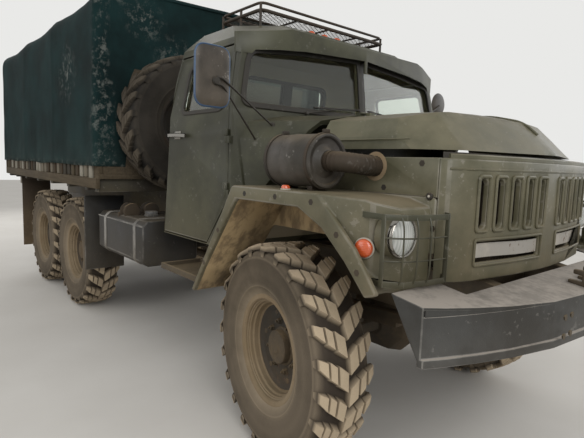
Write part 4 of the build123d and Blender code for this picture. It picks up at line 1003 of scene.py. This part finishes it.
# How worn the cover is: along its upper corners, its front edge, its hem and on a few spots
def tarpScuff(x, y, z):
    fleck = 0.5 + 0.5 * ripple(x * 3.0, y * 3.0, z * 3.0)
    amount = 0.85 * max(0.0, 1.0 - abs(z - 2.855) / 0.075) * fleck if abs(y) > 0.9 else 0.0
    if y < -1.1:
        amount = max(amount, 0.3 * max(0.0, 1.0 - abs(x - tarp["front"]) / 0.05) * (0.5 + fleck))
    amount = max(amount, 0.5 * max(0.0, 1.0 - (z - tarp["hem"]) / 0.05) * fleck)
    for px, py, pz, size in tarp["scuffs"]:
        amount = max(amount, 0.45 * max(0.0, 1.0 - (Vector((x - px, y - py, z - pz)).length / size)))
    return amount


def dressTarp():
    half = [Vector((0.0, y, z)) for y, z in tarp["section"]]
    line = half + [Vector((0.0, -p.y, p.z)) for p in reversed(half[:-1])]
    line = evenly(rounded(line, 0.09), 0.042)
    line = [Vector((0.0, (a.y - b.y) / 2, (a.z + b.z) / 2)) for a, b in zip(line, reversed(line))]
    bm = bmesh.new()
    scuffed = bm.verts.layers.float.new("scuffed")
    rear, front, bend, count = (tarp[key] for key in ("rear", "front", "bend", "stations"))
    along = [rear + bend * (1 - cos(pi / 2 * k / 5)) for k in range(5)]
    along += [rear + bend + (front - rear - 2 * bend) * k / count for k in range(count + 1)]
    along += [front - bend * (1 - sin(pi / 2 * k / 5)) for k in range(1, 6)]
    rings = []
    for x in along:
        end = max(0.0, bend - min(x - rear, front - x))
        pull = bend * (1 - sqrt(max(0.0, 1 - (end / bend) ** 2)))
        ring = []
        for i, p in enumerate(line):
            before, after = line[max(i - 1, 0)], line[min(i + 1, len(line) - 1)]
            tangent = (after - before).normalized()
            outward = Vector((0, tangent.z, -tangent.y))
            place = p + outward * (tarpPush(x, p.y, p.z) - pull)
            place.x = x
            if p.z < tarp["hem"] + 0.1:
                place.z += 0.01 * ripple(x * 2.4, p.y, 5.0) + 0.004
            vert = bm.verts.new(place)
            vert[scuffed] = tarpScuff(x, p.y, p.z)
            ring.append(vert)
        rings.append(ring)
    facesBetween(bm, rings, False, False)
    for ring, x, floorZ in ((rings[0], along[0], tarp["curtain"]), (rings[-1], along[-1], 0.0)):
        previous = ring
        away = 1 if x < -1 else -1
        for k in range(1, tarp["endSteps"] + 1):
            v = k / tarp["endSteps"]
            current = []
            for vert in ring:
                bulge = away * (0.004 + 0.006 * ripple(vert.co.y * (1 - v) * 2.2, vert.co.z * 1.8, 9.0 + x) + 0.006)
                new = bm.verts.new((x + bulge * min(1.0, v * 4), vert.co.y * (1 - v), vert.co.z))
                new[scuffed] = tarpScuff(new.co.x, new.co.y, new.co.z)
                current.append(new)
            for i in range(len(ring) - 1):
                if min(ring[i].co.z, ring[i + 1].co.z) >= floorZ - 0.02:
                    bm.faces.new((previous[i], previous[i + 1], current[i + 1], current[i]))
            previous = current
    bmesh.ops.remove_doubles(bm, verts=bm.verts, dist=0.0004)
    bmesh.ops.delete(bm, geom=[v for v in bm.verts if not v.link_faces], context="VERTS")
    bmesh.ops.recalc_face_normals(bm, faces=bm.faces)
    top = max(bm.faces, key=lambda face: face.calc_center_median().z)
    if top.normal.z < 0:
        bmesh.ops.reverse_faces(bm, faces=bm.faces)
    uv = bm.loops.layers.uv.new("UVMap")
    for face in bm.faces:
        n = face.normal
        for corner in face.loops:
            x, y, z = corner.vert.co
            corner[uv].uv = (y, z) if abs(n.x) > 0.7 else ((x, y) if abs(n.z) > 0.7 else (x, z))
    mesh = fromBm(bm, "tarp")
    mesh.materials.append(finishes["canvasCloth"])
    thing = addObject("tarp", mesh)
    wall = thing.modifiers.new("cloth", "SOLIDIFY")
    wall.thickness, wall.offset = tarp["thick"], -1.0
    mesh = evaluated(thing, "tarpCover")
    for face in mesh.polygons:
        face.use_smooth = True
    piece = settle("tarpCover", mesh, stands=["tarpaulin"])


dressTarp()
print("tarpaulin done")


# Seats: padded cushions with sewn channels on their bases

seat = {"rows": ((0.2, 0.78), (-0.8, -0.14)), "base": 1.33, "top": 1.485}


def power(value, exponent):
    return (1 if value >= 0 else -1) * abs(value) ** exponent


# A cushion: a block with full, rounded sides and channels sewn across its top
def puffed(bm, low, high, channels=5, at=Matrix()):
    low, high = Vector(low), Vector(high)
    middle, half = (low + high) / 2, (high - low) / 2
    around, up = 44, 22
    rings = []
    for j in range(up + 1):
        v = -pi / 2 + pi * j / up
        ring = []
        for i in range(around):
            u = 2 * pi * i / around
            x = power(cos(v), 0.28) * power(cos(u), 0.26)
            y = power(cos(v), 0.28) * power(sin(u), 0.26)
            z = power(sin(v), 0.55)
            pull = 1 - 0.035 * (1 - x * x) * (1 - z * z) - 0.02 * (1 - y * y)
            channel = 0.05 * (abs(sin(pi * channels * (y + 1) / 2)) ** 0.35 - 1) if z > 0.3 else 0.0
            reach = Vector((half.x * x * pull, half.y * y * pull, half.z * (z + channel)))
            ring.append(bm.verts.new(at @ (middle + reach)))
        rings.append(ring)
    facesBetween(bm, rings, True, False)


def dressSeats():
    pads, bases = bmesh.new(), bmesh.new()
    for low, high in seat["rows"]:
        puffed(pads, (1.09, low, seat["base"] + 0.002), (1.57, high, seat["top"] + 0.03))
        lean = moved(1.2, 0, 1.47) @ spin(90 - 8, "Y")
        puffed(pads, (-0.43, low, -0.085), (0.0, high, 0.035), at=lean)
        slab(bases, (1.13, low + 0.06, 1.09), (1.5, high - 0.06, seat["base"] + 0.01), 0.006)
    piece = complete("seatPads", pads, ["seatCover"], stands=["seats"], sharp=60)
    complete("seatBases", bases, ["trimBlack"], stands=["seats"])


dressSeats()


# Lamps

headLamp = (3.06, 0.97, 1.28)
roofLamps = (1.56, 0.13, 2.48)
lampPlaces = [("signal", (2.955, 1.0596, 1.225), (50, 130, 0)), ("marker", (2.48, 1.09, 1.432), (0, 0, 1))]
lampForms = {
    # kind: segments, base, lens
    "signal": (32, pairs(0, 0.6, 43, 0.6, 43.5, 7, 40.5, 10, 0, 10),
               pairs(38.5, 9.5, 38, 16, 34, 22.5, 23, 27, 0, 28.5)),
    "marker": (24, pairs(0, 0, 25, 0, 25, 6, 0, 6.5),
               pairs(21.5, 6, 21, 15, 15, 22, 0, 24)),
    "roof": (28, pairs(0, -10, 34, -10, 34, 6, 31, 8, 0, 8),
             pairs(29.5, 7.5, 28, 20, 20, 29, 0, 32)),
}


# The matrix that puts local Y along outward, at a place
def facing(place, outward):
    return Matrix.Translation(place) @ Vector(outward).to_track_quat("Y", "Z").to_matrix().to_4x4()


def addLamp(bm, kind, place, outward):
    segments, base, lens = lampForms[kind]
    turn(bm, base, segments, facing(place, outward), finish=1)
    turn(bm, lens, segments, facing(place, outward))


def dressLamps():
    head, small = bmesh.new(), bmesh.new()
    for side in (1, -1):
        x, y, z = headLamp
        at = moved(x, side * y, z) @ alongX
        turn(head, pairs(87.5, 0, 87.8, 10, 86.5, 19, 81.5, 23.5, 76, 20.5, 74.5, 12, 74, 0), 56, at, ring=True)
        turn(head, pairs(90.5, -58, 90.5, -2, 88.5, 2, 86, 2, 74, -2, 74, -58), 56, at, ring=True, finish=3)
        turn(head, pairs(74.2, 8, 70, -10, 56, -30, 36, -43, 16, -49, 0, -50, 0, -53, 40, -47, 74, -20), 40, at)
        turn(head, pairs(0, -50, 9, -48, 11, -30, 8, -20, 0, -18), 16, at, finish=2)
        turn(head, pairs(0, 35, 22, 34, 44, 30, 62, 23.5, 75.5, 14, 74.5, 11, 60, 20, 43, 26.5, 22, 30.5, 0, 31.5),
             48, at, finish=1)
        for kind, (x, y, z), outward in lampPlaces:
            addLamp(small, kind, (x, side * y, z), (outward[0], side * outward[1], outward[2]))
        start = min(side * 0.82, side * 1.06)
        slab(small, (-3.443, start, 1.16), (-3.4, start + 0.24, 1.27), 0.006, finish=1)
        for k in range(3):
            y = start + 0.01 + k * 0.075
            slab(small, (-3.455, y, 1.172), (-3.439, y + 0.068, 1.258), 0.006)
    x, gap, z = roofLamps
    for k in (-1, 0, 1):
        addLamp(small, "roof", (x, k * gap, z), (0, 0, 1))
    complete("headlampsDressed", head, ["chrome", "lampGlass", "amberLens", "nosePaintLit"],
             stands=["headlamps"], sharp=40)
    complete("smallLamps", small, ["amberLens", "paleBase"], stands=["lamps"], sharp=40)


dressLamps()
print("seats and lamps done")


# Rods, tubes and rubber that follow a line

guardPath = pairs(2930, 1062, 3060, 1078, 3126, 1020, 3154, 900, 3164, 800, 3150, 764, 3093, 731)
paneOutline = pairs(13, 1885, 915, 1885, 948, 1912, 893, 2165, 855, 2204, 510, 2240, 13, 2262)
doorWindow = pairs(1330, 1855, 1775, 1855, 1806, 1890, 1768, 2130, 1735, 2165, 1325, 2165, 1292, 2130, 1298, 1887)
wiperBlade = [(0.44, 1.912), (0.24, 1.922), (0.045, 1.932)]
handleLine = [(1.147, 0.01, 1.718), (1.157, 0.0255, 1.718), (1.265, 0.0255, 1.718), (1.4, 0.0225, 1.712)]
rearWindow = pairs(-420, 1900, 420, 1900, 420, 2200, -420, 2200)
grilleBow = pairs(3245, 0, 3245, 60, 3229, 300, 3182, 610, 3156, 690, 3120, 742, 3083, 765)


# Where the windscreen and the grille lie lengthways
def screenX(y, z):
    return 1.98 - 0.075 * abs(y) - 0.136 * (z - 1.85)


def bowX(y):
    for (xa, ya), (xb, yb) in zip(grilleBow, grilleBow[1:]):
        if ya <= abs(y) <= yb:
            return xa + (xb - xa) * (abs(y) - ya) / (yb - ya)
    return grilleBow[-1][0]


def dressGuards():
    bm = bmesh.new()
    for side in (1, -1):
        plan = rounded([(x, side * y, 0) for x, y in guardPath[1:5]], 0.05)
        for z in (1.192, 1.282):
            carry(bm, [p + Vector((0.003, 0, z)) for p in plan], disc(0.0034, 8))
        for x, y in ((3.112, 1.033), (3.136, 0.975), (3.151, 0.91)):
            low, high = Vector((x, side * y, 1.1)), Vector((x, side * y, 1.362))
            out = Vector((0.016, side * 0.004, 0))
            rise = Vector((0, 0, 0.04))
            carry(bm, rounded([low, low + out + rise, high + out - rise, high], 0.04), disc(0.0034, 8))
    complete("guardWires", bm, ["bodyPaintShaded"])


def dressGlazing():
    bm = bmesh.new()
    for side in (1, -1):
        line = [(screenX(y, z) + 0.003, side * y, z) for y, z in paneOutline]
        band(bm, line, 0.05, bar(0.034, 0.014, 0.004), up=(1, side * 0.075, 0.136))
    for x in (0.003, -0.04):
        line = [Vector((0.99 + 0.11875 * (z - 1.04) - x, y, z)) for y, z in rearWindow]
        band(bm, line, 0.07, bar(0.03, 0.012, 0.004), up=(-1, 0, 0.12))
        carry(bm, [line[0].lerp(line[1], 0.5), line[3].lerp(line[2], 0.5)], bar(0.09, 0.014, 0.004), up=(-1, 0, 0.12))
    for side in (1, -1):  # wipers resting along the foot of the screen
        blade = [Vector((screenX(y, z) + 0.016, side * y, z)) for y, z in wiperBlade]
        carry(bm, blade, bar(0.01, 0.014, 0.002), up=(1, 0, 0.136))
        pivot = Vector((screenX(0.2, 1.862) + 0.012, side * 0.52, 1.868))
        carry(bm, rounded([pivot, pivot.lerp(blade[1], 0.5) + Vector((0.014, 0, 0)),
                           blade[1] + Vector((0.008, 0, 0))], 0.05), disc(0.005, 8))
        turn(bm, pairs(0, -10, 12, -10, 12, 10, 8, 14, 0, 14), 16, facing(pivot, (1, 0, 0.2)))
    complete("screenRubber", bm, ["trimBlack"])
    for label, side in (("door_left", 1), ("door_right", -1)):
        bm = bmesh.new()
        line = [(x, side * (1.02 - 0.2333 * (z - 1.84) + 0.001), z) for x, z in doorWindow]
        band(bm, line, 0.035, bar(0.028, 0.012, 0.004), up=(0, side, 0.2333))
        complete(label + "_rubber", bm, ["trimBlack"], label)


def dressHandles():
    for label, side in (("door_left", 1), ("door_right", -1)):
        bm = bmesh.new()
        y = side * 1.0205
        ys = sorted((y, y + side * 0.006))
        slab(bm, (1.205, ys[0], 1.692), (1.3, ys[1], 1.744), 0.004)
        lever = [(x, y + side * out, z) for x, out, z in handleLine]
        carry(bm, rounded(lever, 0.016), bar(0.027, 0.012, 0.004), up=(0, side, 0))
        complete(label + "_handle", bm, ["chrome"], label)


# Roof rack: tubes round a floor of expanded metal
rack = {"x": (1.132, 1.598), "y": 0.608, "floor": 2.546, "rail": 2.592, "roof": 2.385, "posts": (1.14, 1.365, 1.59),
        "bars": (-0.3, 0.0, 0.3), "tube": 0.012, "thin": 0.009, "cell": 0.052, "pitch": 0.64}


def dressRack():
    bm = bmesh.new()
    (back, front), wide = rack["x"], rack["y"]
    corners = [(back, -wide), (front, -wide), (front, wide), (back, wide)]
    for z, radius in ((rack["floor"], rack["tube"]), (rack["rail"], rack["thin"])):
        band(bm, [(x, y, z) for x, y in corners], 0.05, disc(radius, 10))
    for x in (back, (back + front) / 2, front):
        carry(bm, [(x, -wide, rack["floor"]), (x, wide, rack["floor"])], disc(rack["thin"], 8))
    for x in rack["posts"]:
        for side in (1, -1):
            carry(bm, [(x, side * wide, rack["roof"]), (x, side * wide, rack["rail"])], disc(rack["thin"], 8),
                  up=(1, 0, 0))
    for y in rack["bars"]:
        carry(bm, [(back, y, rack["floor"] - 0.008), (front, y, rack["floor"] - 0.008)], disc(0.007, 8))
    for flip in (1, -1):
        strip = bmesh.new()
        cells = int(2 * wide / rack["cell"] * 2)
        line = [(flip * rack["cell"] * 0.16 * (1 if k % 2 else -1), -wide + 2 * wide * k / cells,
                 rack["floor"] + 0.004) for k in range(cells + 1)]
        carry(strip, line, bar(0.004, 0.003, 0.0008)[::2])
        step = rack["cell"] * rack["pitch"]
        mesh = copied(rowTree, toMesh(strip, "strip", ["chassisPaint"]), "chassisPaint",
                      Count=int((front - back) / step), Step=(step, 0.0, 0.0), Seed=2)
        include(bm, mesh, moved(back + 0.02 + (step / 2 if flip < 0 else 0), 0, 0))
    complete("rackDressed", bm, ["chassisPaint"], stands=["roof_rack"])


# Air filter: a drum with bands and a recessed face, its hose clamped into the side panel
drum = {"x": 2.285, "y": -0.955, "z": 1.572, "radius": 0.127}


def dressFilter():
    bm = bmesh.new()
    at = moved(drum["x"], drum["y"], drum["z"]) @ alongX
    r = drum["radius"]
    turn(bm, [(0.0, 0.004), (0.06, 0.003), (r - 0.012, 0.0), (r - 0.003, 0.004), (r, 0.014), (r, 0.12),
              (r + 0.0025, 0.124), (r + 0.0025, 0.134), (r, 0.138), (r, 0.298), (r + 0.002, 0.322),
              (r - 0.002, 0.335), (r - 0.01, 0.3375), (r - 0.016, 0.334), (r - 0.02, 0.318), (0.08, 0.312),
              (0.07, 0.316), (0.058, 0.33), (0.05, 0.336), (0.0, 0.336)], 64, at)
    for place in (0.012, 0.305):
        turn(bm, [(r + 0.001, place), (r + 0.0055, place), (r + 0.0055, place + 0.018), (r + 0.001, place + 0.018)],
             64, at, ring=True, finish=1)
        slab(bm, (drum["x"] + place - 0.002, drum["y"] - 0.016, drum["z"] + r + 0.002),
             (drum["x"] + place + 0.02, drum["y"] + 0.016, drum["z"] + r + 0.02), 0.002, finish=1)
    for x in (2.33, 2.53):
        slab(bm, (x, drum["y"] - 0.045, 1.4315), (x + 0.036, drum["y"] + 0.045, drum["z"] - r + 0.02), 0.003,
             finish=1)
    hose = evenly(rounded([(2.6, -0.955, 1.572), (2.7, -0.955, 1.572), (2.752, -0.905, 1.563), (2.745, -0.76, 1.556)],
                          0.07, 8), 0.006)
    ridges = [1.0 + (0.045 if 2.652 < p.x and p.y < -0.8 and i % 3 == 0 else 0.0) for i, p in enumerate(hose)]
    carry(bm, hose, disc(0.0455, 28), finish=2, sizes=ridges)
    for place, outward in (((2.64, -0.955, 1.572), (1, 0, 0)), ((2.746, -0.808, 1.5585), (0, 1, 0))):
        turn(bm, pairs(46.5, -8, 49, -8, 49, 8, 46.5, 8), 32, facing(place, outward), ring=True, finish=1)
    turn(bm, pairs(48, -4, 66, -4, 68, 0, 48, 2), 32, facing((2.745, -0.7665, 1.556), (0, -1, 0)), ring=True,
         finish=3)
    complete("filterDressed", bm, ["filterPaint", "chassisPaint", "flapRubber", "rimPaint"],
             stands=["air_filter"], sharp=32)


def dressMirrors():
    bm = bmesh.new()
    outline = rounded([(0, -1.393, 1.818), (0, -1.205, 1.818), (0, -1.205, 2.104), (0, -1.393, 2.104)], 0.055, 7,
                      closed=True)
    middle = Vector((0, -1.3, 1.9605))
    rings = []
    for x, inset in ((2.145, 0.92), (2.147, 1.0), (2.157, 1.0), (2.1615, 0.93), (2.163, 0.7)):
        rings.append([bm.verts.new(middle + (p - middle) * inset + Vector((x, 0, 0))) for p in outline])
    facesBetween(bm, rings, True, False)
    carry(bm, [p + Vector((2.152, 0, 0)) for p in outline], disc(0.0065, 8), up=(1, 0, 0), closed=True, finish=1)
    turn(bm, pairs(0, 0, 20, 0, 22, 8, 16, 16, 0, 18), 20, facing((2.16, -1.285, 1.94), (1, 0, 0)), finish=2)
    for start, foot in (((2.17, -1.285, 1.958), (2.062, -0.852, 1.762)),
                        ((2.17, -1.285, 1.925), (1.992, -0.892, 1.652))):
        start, foot = Vector(start), Vector(foot)
        carry(bm, rounded([start, start + Vector((0.006, 0.03, -0.004)), foot], 0.02), disc(0.0052, 10), finish=2)
        turn(bm, pairs(0, -4, 20, -4, 18, 8, 0, 10), 18, facing(foot, (0.3, -1, 0.2)), finish=2)
    complete("mirrorRightDressed", bm, ["mirrorBack", "blueRim", "trimBlack"], stands=["mirror_right"],
             sharp=40)
    bm = bmesh.new()
    at = facing((1.712, 1.3, 2.13), (1, 0, 0))
    turn(bm, pairs(0, 0, 92, 0, 98, 3, 100, 8, 92, 14, 60, 20, 0, 22), 40, at)
    carry(bm, rounded([(1.732, 1.3, 2.12), (1.74, 1.27, 2.1), (1.8, 0.95, 1.964)], 0.03), disc(0.0085, 10), finish=1)
    complete("mirrorLeftDressed", bm, ["mirrorBack", "trimBlack"], "door_left", ["mirror_left"],
             sharp=40)


def dressSteering():
    bm = bmesh.new()
    hub, axis = Vector((1.66, 0.48, 1.69)), Vector((0.866, 0, -0.5))
    at = facing(hub, axis)
    turn(bm, [(0.214 + 0.0125 * cos(2 * pi * k / 12), 0.0125 * sin(2 * pi * k / 12)) for k in range(12)], 56, at,
         ring=True)
    turn(bm, pairs(0, -16, 30, -14, 44, -4, 44, 18, 26, 34, 24, 300, 0, 300), 28, at)
    for reach in ((0, 1, 0), (0, -1, 0), (-0.5, 0, -0.866)):
        carry(bm, [hub, hub + Vector(reach) * 0.1 + axis * 0.006, hub + Vector(reach) * 0.212], disc(0.0095, 10))
    complete("steeringDressed", bm, ["trimBlack"], stands=["steering_wheel"], sharp=40)


for dress in (dressGuards, dressGlazing, dressHandles, dressRack, dressFilter, dressMirrors, dressSteering):
    dress()
print("rods, glazing, rack, filter and mirrors done")


# Nose: raised frames round the grille's openings, peeling slats behind them, latches, the lip under the hood and
# a black strip behind it that darkens the gap as painted shade, the radiator's fins and the hood's creases

grille = {"slots": 5, "pitch": 0.116, "first": 0.93, "slot": pairs(-37, 1290, 37, 1290, 37, 1528, -37, 1528),
          "low": (1.14, 1.254), "fins": 48, "finPitch": 0.015, "finStart": -0.352}


def dressNose():
    bm = bmesh.new()
    for side in (1, -1):
        for k in range(grille["slots"]):
            y = side * grille["pitch"] * (k + grille["first"])
            line = [(bowX(y + dy) + 0.002, y + dy, z) for dy, z in grille["slot"]]
            band(bm, line, 0.016, bar(0.016, 0.014, 0.005), up=(1, 0, 0), steps=5)
        rows = [(side * (0.085 + 0.525 * k / 8)) for k in range(9)]
        low, high = grille["low"]
        loop = [(bowX(y) + 0.002, y, low) for y in rows] + [(bowX(y) + 0.002, y, high) for y in reversed(rows)]
        band(bm, loop, 0.012, bar(0.012, 0.012, 0.003), up=(1, 0, 0), steps=3)
        carry(bm, [(bowX(y) - 0.016, y, 1.2 + 0.003 * sin(9 * y)) for y in rows], bar(0.064, 0.004, 0.001),
              up=(1, 0, 0), finish=1)
        at = facing((3.05, side * 0.7655, 1.436), (0, side, 0))
        turn(bm, pairs(0, -2, 16, -2, 16, 5, 12, 8, 0, 8), 20, at, finish=3)
        turn(bm, pairs(0, 7, 6, 7, 5, 11, 0, 12), 12, at, finish=1)
    ys = [-0.74 + 1.48 * k / 40 for k in range(41)]
    carry(bm, [(bowX(y) - 0.012, y * 0.985, 1.606) for y in ys], bar(0.026, 0.02, 0.006), up=(1, 0, 0))
    # A black strip set back behind the lip: painted shade that darkens the gap under the hood's front
    carry(bm, [(bowX(y) - 0.075, y * 0.92, 1.608) for y in ys], bar(0.04, 0.006, 0.001), up=(1, 0, 0), finish=2)
    carry(bm, [(bowX(y) + 0.001, y, 1.556) for y in ys], bar(0.01, 0.006, 0.002), up=(1, 0, 0))
    fin = bmesh.new()
    slab(fin, (3.1302, -0.0012, 1.1), (3.1345, 0.0012, 1.56), 0.0004)
    include(bm, copied(rowTree, toMesh(fin, "fin", ["chassisPaint"]), "chassisPaint", Count=grille["fins"],
                       Step=(0.0, grille["finPitch"], 0.0), Seed=1), moved(0, grille["finStart"], 0), finish=3)
    complete("noseTrim", bm, ["nosePaintLit", "peeling", "trimBlack", "chassisPaint"])
    bm = bmesh.new()
    for side in (1, -1):
        carry(bm, [(x, side * 0.7655, 1.681) for x in (2.378, 2.65, 2.93)], disc(0.0035, 8))
    carry(bm, rounded([(2.38, 0, 1.8585), (2.9, 0, 1.8455), (3.071, 0, 1.8085), (3.15, 0, 1.742)], 0.05),
          disc(0.006, 10), up=(0, 1, 0))
    complete("hoodCreases", bm, ["nosePaintLit"], "hood")


# Bumper: the deck's edge rolled down to the face along the bow
bumperBow = {"front": 3.52, "back": 3.12, "deck": 1.08, "slope": 0.155, "foot": 1.01, "turnIn": 0.22,
             "arc": pairs(0, 0, 450, 40, 700, 99, 870, 155, 1000, 206, 1076, 242)}


def dressBumper():
    bm = bmesh.new()
    half = [(bumperBow["front"] - 0.001 - drop, y) for y, drop in bumperBow["arc"]]
    plan = [(x, -y) for x, y in reversed(half[1:])] + half
    line = evenly([Vector((x, y, 0.0)) for x, y in plan], 0.06)
    rings = []
    for p in line:
        foot, deck = bumperBow["foot"], bumperBow["deck"] - bumperBow["slope"] * (p.x - bumperBow["back"])
        inward = Vector((-1.0, -p.y * bumperBow["turnIn"], 0.0)).normalized()
        ring = [(0.012, foot), (0.012, deck - 0.012), (0.014, deck - 0.004), (0.02, deck + 0.0025),
                (0.034, deck + 0.003), (0.036, deck - 0.006), (0.024, foot)]
        rings.append([bm.verts.new((p.x + inward.x * a, p.y + inward.y * a, z)) for a, z in ring])
    facesBetween(bm, rings, True, False)
    complete("bumperRoll", bm, ["bumperPaint"], sharp=50)


dressBumper()


# Bed: a band of old slats over the sill; the tanks' straps, caps and seams
bed = {"slats": 30, "pitch": 0.121, "start": -3.45, "sill": 1.387, "jitter": (0.006, 0.002, 0.006), "lean": 0.05,
       "slatSize": (0.076, 0.018, 0.104), "rows": (("left", 1.2075, 11), ("right", -1.2255, 5))}
tank = {"outline": pairs(660, 740, 1040, 740, 1080, 780, 1080, 1050, 1040, 1090, 660, 1090, 620, 1050, 620, 780),
        "middle": (0.85, 0.915), "straps": (0.035, 0.665), "seam": (-0.125, 0.815)}


def dressBed():
    for label, y, seed in bed["rows"]:
        slat = bmesh.new()
        slab(slat, (0, 0, 0), bed["slatSize"], 0.003)
        mesh = copied(rowTree, toMesh(slat, "slat", ["slatMix"]), "slatMix", Count=bed["slats"],
                      Step=(bed["pitch"], 0.0, 0.0), Jitter=bed["jitter"], Lean=bed["lean"], Seed=seed)
        bm = bmesh.new()
        include(bm, mesh, moved(bed["start"], y, bed["sill"]))
        complete("slats_" + label, bm, ["slatMix"])
    bm = bmesh.new()
    midY, midZ = tank["middle"]
    for side in (1, -1):
        for x in tank["straps"]:
            line = [(x, side * (midY + (y - midY) * 1.008), midZ + (z - midZ) * 1.01) for y, z in tank["outline"]]
            band(bm, line, 0.02, bar(0.046, 0.005, 0.001), up=(0, side, 0), steps=3)
        turn(bm, pairs(0, -4, 56, -4, 56, 10, 50, 14, 50, 34, 46, 40, 0, 42), 28,
             facing((0.48, side * 0.86, 1.09), (0, 0, 1)))
        carry(bm, [(x, side * 1.0815, 1.048) for x in tank["seam"]], bar(0.01, 0.006, 0.002), up=(0, side, 0))
    complete("tankStraps", bm, ["strapPale"])


# Spare wheel hoist: an arm from the carrier with two drums
def dressHoist():
    bm = bmesh.new()
    slab(bm, (0.258, -1.06, 1.055), (0.292, -0.6, 1.105), 0.004)
    for y in (-0.985, -0.815):
        turn(bm, pairs(0, -50, 66, -50, 70, -44, 70, -36, 52, -32, 52, 32, 70, 36, 70, 44, 66, 50, 20, 54, 0, 54),
             36, moved(0.345, y, 1.12) @ alongX)
    complete("hoistDrums", bm, ["axleMetal"])


# Bolts where plates meet: along the bumper, the fenders and the side panels
boltRows = [
    # sideways place, the (lengthways, up) places
    (1.1302, pairs(2200, 1395, 2450, 1397, 2700, 1392, 2860, 1270, 2980, 1135, 1800, 965, 1950, 1175)),
    (0.7655, pairs(3000, 1575, 2450, 1460, 2800, 1460, 3070, 1300, 3070, 1180)),
]


def dressBolts():
    places = [((3.5085, y, z), (1, 0, 0)) for y in (-0.43, -0.36, 0.36, 0.43) for z in (0.885, 0.965)]
    for y, row in boltRows:
        places += [((x, side * y, z), (0, side, 0)) for side in (1, -1) for x, z in row]
    mesh = copied(placedTree, boltHead(), "chassisPaint", places=places, Seed=1)
    for face in mesh.polygons:
        face.use_smooth = False
    settle("bolts_truck", mesh)


for dress in (dressNose, dressBed, dressHoist, dressBolts):
    dress()
print("nose, bed, hoist and bolts done")


# Camera, floor and light

studio = {"world": 0.74, "seen": 1.0, "mirrored": 0.75, "floor": 60, "floorDrop": -0.002}


def makeStudio():
    scene = bpy.context.scene
    yaw, pitch, roll = (radians(camera[key]) for key in ("yaw", "pitch", "roll"))
    ahead = Vector((cos(pitch) * cos(yaw), cos(pitch) * sin(yaw), sin(pitch)))
    right = ahead.cross(Vector((0, 0, 1))).normalized()
    up = right.cross(ahead)
    turned = (right * cos(roll) + up * sin(roll), up * cos(roll) - right * sin(roll), -ahead)
    lens = bpy.data.cameras.new("camera")
    lens.lens, lens.sensor_width, lens.clip_end = camera["lens"], 36.0, 100.0
    scene.camera = addObject("camera", lens)
    scene.camera.matrix_world = Matrix.Translation(camera["place"]) @ Matrix(turned).transposed().to_4x4()

    bpy.ops.mesh.primitive_plane_add(size=studio["floor"], location=(0, 0, studio["floorDrop"]))
    floor = bpy.context.object
    floor.name = "floor"
    tree, sockets = startMaterial("floorPale", 0.9)
    feed(blend(noiseOf(objectPlace(tree), 1.4, 5.0), rgb("#b9b5ae"), rgb("#c9c6c0")), sockets["Base Color"])
    floor.data.materials.append(finishes["floorPale"])

    world = bpy.data.worlds.new("studio")
    scene.world = world
    world.use_nodes = True
    tree = world.node_tree
    tree.nodes.clear()
    path = makeNode(tree, "LightPath").outputs
    mirrored = times(calc("MAXIMUM", path["Is Glossy Ray"], path["Is Transmission Ray"]), studio["mirrored"])
    seen = calc("MAXIMUM", path["Is Camera Ray"], mirrored, clamp=True)
    plain = makeNode(tree, "Background", {"Color": (1, 1, 1, 1), "Strength": studio["world"]}).outputs[0]
    bright = makeNode(tree, "Background", {"Color": rgb("#e9e9e7"), "Strength": studio["seen"]}).outputs[0]
    mixed = makeNode(tree, "MixShader", {0: seen, 1: plain, 2: bright}).outputs[0]
    makeNode(tree, "OutputWorld", {"Surface": mixed})

    lamps = (
        # name, place, aim, size, power
        ("key", (8.5, -3.5, 5.0), (1.5, -0.5, 1.0), 5.0, 350),
        ("side", (0.5, -9.5, 4.5), (0, -1.0, 1.2), 6.0, 190),
        ("fill", (5.0, 8.5, 5.0), (1.0, 0.5, 1.0), 6.0, 175),
        ("back", (-9.0, 0.5, 5.5), (-2.0, 0, 1.5), 6.0, 210),
    )
    for name, place, aim, size, power in lamps:
        light = bpy.data.lights.new(name, "AREA")
        light.size, light.energy = size, power
        turning = (Vector(place) - Vector(aim)).to_track_quat("Z", "Y").to_matrix().to_4x4()
        addObject(name, light).matrix_world = Matrix.Translation(place) @ turning
    scene.view_settings.view_transform = "Standard"


makeStudio()
print("studio ready")
